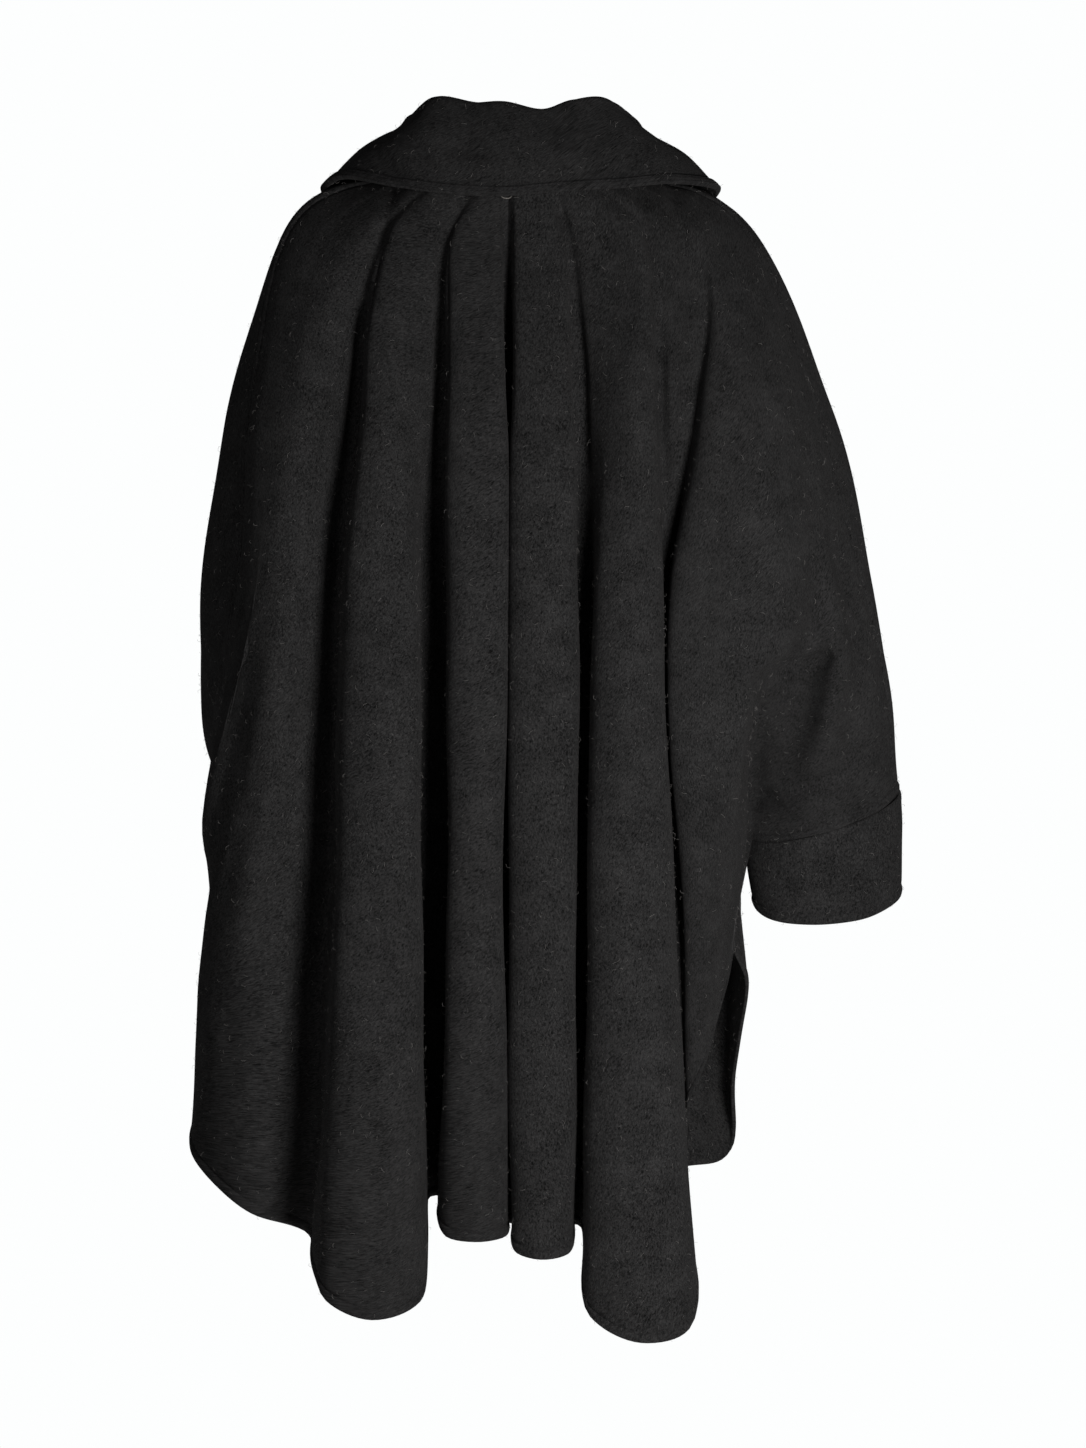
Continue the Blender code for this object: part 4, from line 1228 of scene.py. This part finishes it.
class CoatSettings(bpy.types.PropertyGroup):
    """How the coat's cloth is made and worn."""

    detail: FloatProperty(
        name="Cloth detail", description="How finely the cloth is sampled, 1 for the final mesh",
        default=1.0, min=0.3, max=1.4,
    )
    drape: FloatProperty(
        name="Drape unevenness", description="Height of the long, gentle waves in the cloth",
        default=0.0014, min=0.0, max=0.01, subtype="DISTANCE", unit="LENGTH",
    )
    crease_strength: FloatProperty(
        name="Crease strength", description="Share of the creases' listed depth",
        default=1.0, min=0.0, max=2.0,
    )
    stitch_pitch: FloatProperty(
        name="Stitch pitch", description="Distance from one topstitch to the next",
        default=0.0042, min=0.001, max=0.02, subtype="DISTANCE", unit="LENGTH",
    )
    stitch_length: FloatProperty(
        name="Stitch length", description="Length of one topstitch as it shows",
        default=0.0034, min=0.001, max=0.02, subtype="DISTANCE", unit="LENGTH",
    )
    thread_radius: FloatProperty(
        name="Thread radius", description="Half the thickness of the sewing thread",
        default=0.00032, min=0.0001, max=0.002, subtype="DISTANCE", unit="LENGTH",
    )
    fibre_density: FloatProperty(
        name="Fibre density", description="Loose fibres on a square metre of cloth",
        default=4000.0, min=0.0, max=20000.0,
    )
    fibre_length: FloatProperty(
        name="Fibre length", description="Reach of a loose fibre",
        default=0.0035, min=0.0005, max=0.02, subtype="DISTANCE", unit="LENGTH",
    )
    fibre_radius: FloatProperty(
        name="Fibre radius", description="Half the thickness of a loose fibre",
        default=0.00008, min=0.00001, max=0.001, subtype="DISTANCE", unit="LENGTH",
    )
    seed: IntProperty(
        name="Seed", description="Chooses the unevenness, always the same for a number", default=7
    )


class StageSettings(bpy.types.PropertyGroup):
    """The studio round the coat."""

    air: FloatProperty(
        name="Air light", description="Brightness of the studio all round", default=0.04, min=0.0, max=3.0
    )
    key_power: FloatProperty(
        name="Key power", description="Power of the main soft light", default=17.0, min=0.0, max=2000.0,
        subtype="POWER", unit="POWER",
    )
    fill_power: FloatProperty(
        name="Fill power", description="Power of the second soft light", default=5.0, min=0.0, max=2000.0,
        subtype="POWER", unit="POWER",
    )
    front_power: FloatProperty(
        name="Front power", description="Power of the light on the side that the photo doesn't show",
        default=100.0, min=0.0, max=2000.0, subtype="POWER", unit="POWER",
    )


class COAT_OT_panels(bpy.types.Operator):
    """Makes the two backs and two fronts, with their seams, creases and stitches"""

    bl_idname = "coat.panels"
    bl_label = "Coat panels"

    def execute(self, context):
        make_panels(context.scene.coat_cloth)
        return {"FINISHED"}


class COAT_OT_cuffs(bpy.types.Operator):
    """Makes the two cuffs with their stitches"""

    bl_idname = "coat.cuffs"
    bl_label = "Cuffs"

    def execute(self, context):
        make_cuffs(context.scene.coat_cloth)
        return {"FINISHED"}


class COAT_OT_collar(bpy.types.Operator):
    """Makes the fold-over collar with its edge band and double row of stitches"""

    bl_idname = "coat.collar"
    bl_label = "Collar"

    def execute(self, context):
        make_collar(context.scene.coat_cloth)
        return {"FINISHED"}


class COAT_OT_loose_threads(bpy.types.Operator):
    """Makes the thread loop at the neck and the loose fibres of the nap"""

    bl_idname = "coat.loose_threads"
    bl_label = "Loose threads and fibres"

    def execute(self, context):
        make_thread_loop()
        make_fibres(context.scene.coat_cloth)
        return {"FINISHED"}


class COAT_OT_stage(bpy.types.Operator):
    """Makes the studio floor, the lights and the camera"""

    bl_idname = "coat.stage"
    bl_label = "Studio"

    def execute(self, context):
        make_stage(context.scene.coat_stage)
        return {"FINISHED"}


OPERATORS = (COAT_OT_panels, COAT_OT_cuffs, COAT_OT_collar, COAT_OT_loose_threads, COAT_OT_stage)


class COAT_PT_panel(bpy.types.Panel):
    """The coat's settings and its build steps, in order."""

    bl_idname = "COAT_PT_panel"
    bl_label = "Wool cape coat"
    bl_space_type = "VIEW_3D"
    bl_region_type = "UI"
    bl_category = "Coat"

    def draw(self, context):
        for group in (context.scene.coat_cloth, context.scene.coat_stage):
            column = self.layout.column(align=True)
            for name in group.__annotations__:
                column.prop(group, name)
        for operator in OPERATORS:
            self.layout.operator(operator.bl_idname)


CLASSES = (CoatSettings, StageSettings, *OPERATORS, COAT_PT_panel)


def register():
    for cls in CLASSES:
        bpy.utils.register_class(cls)
    bpy.types.Scene.coat_cloth = PointerProperty(type=CoatSettings)
    bpy.types.Scene.coat_stage = PointerProperty(type=StageSettings)


def unregister():
    del bpy.types.Scene.coat_stage
    del bpy.types.Scene.coat_cloth
    for cls in reversed(CLASSES):
        bpy.utils.unregister_class(cls)


def main():
    register()
    bpy.ops.coat.panels()
    bpy.ops.coat.cuffs()
    bpy.ops.coat.collar()
    bpy.ops.coat.loose_threads()
    bpy.ops.coat.stage()


if __name__ == "__main__":
    main()
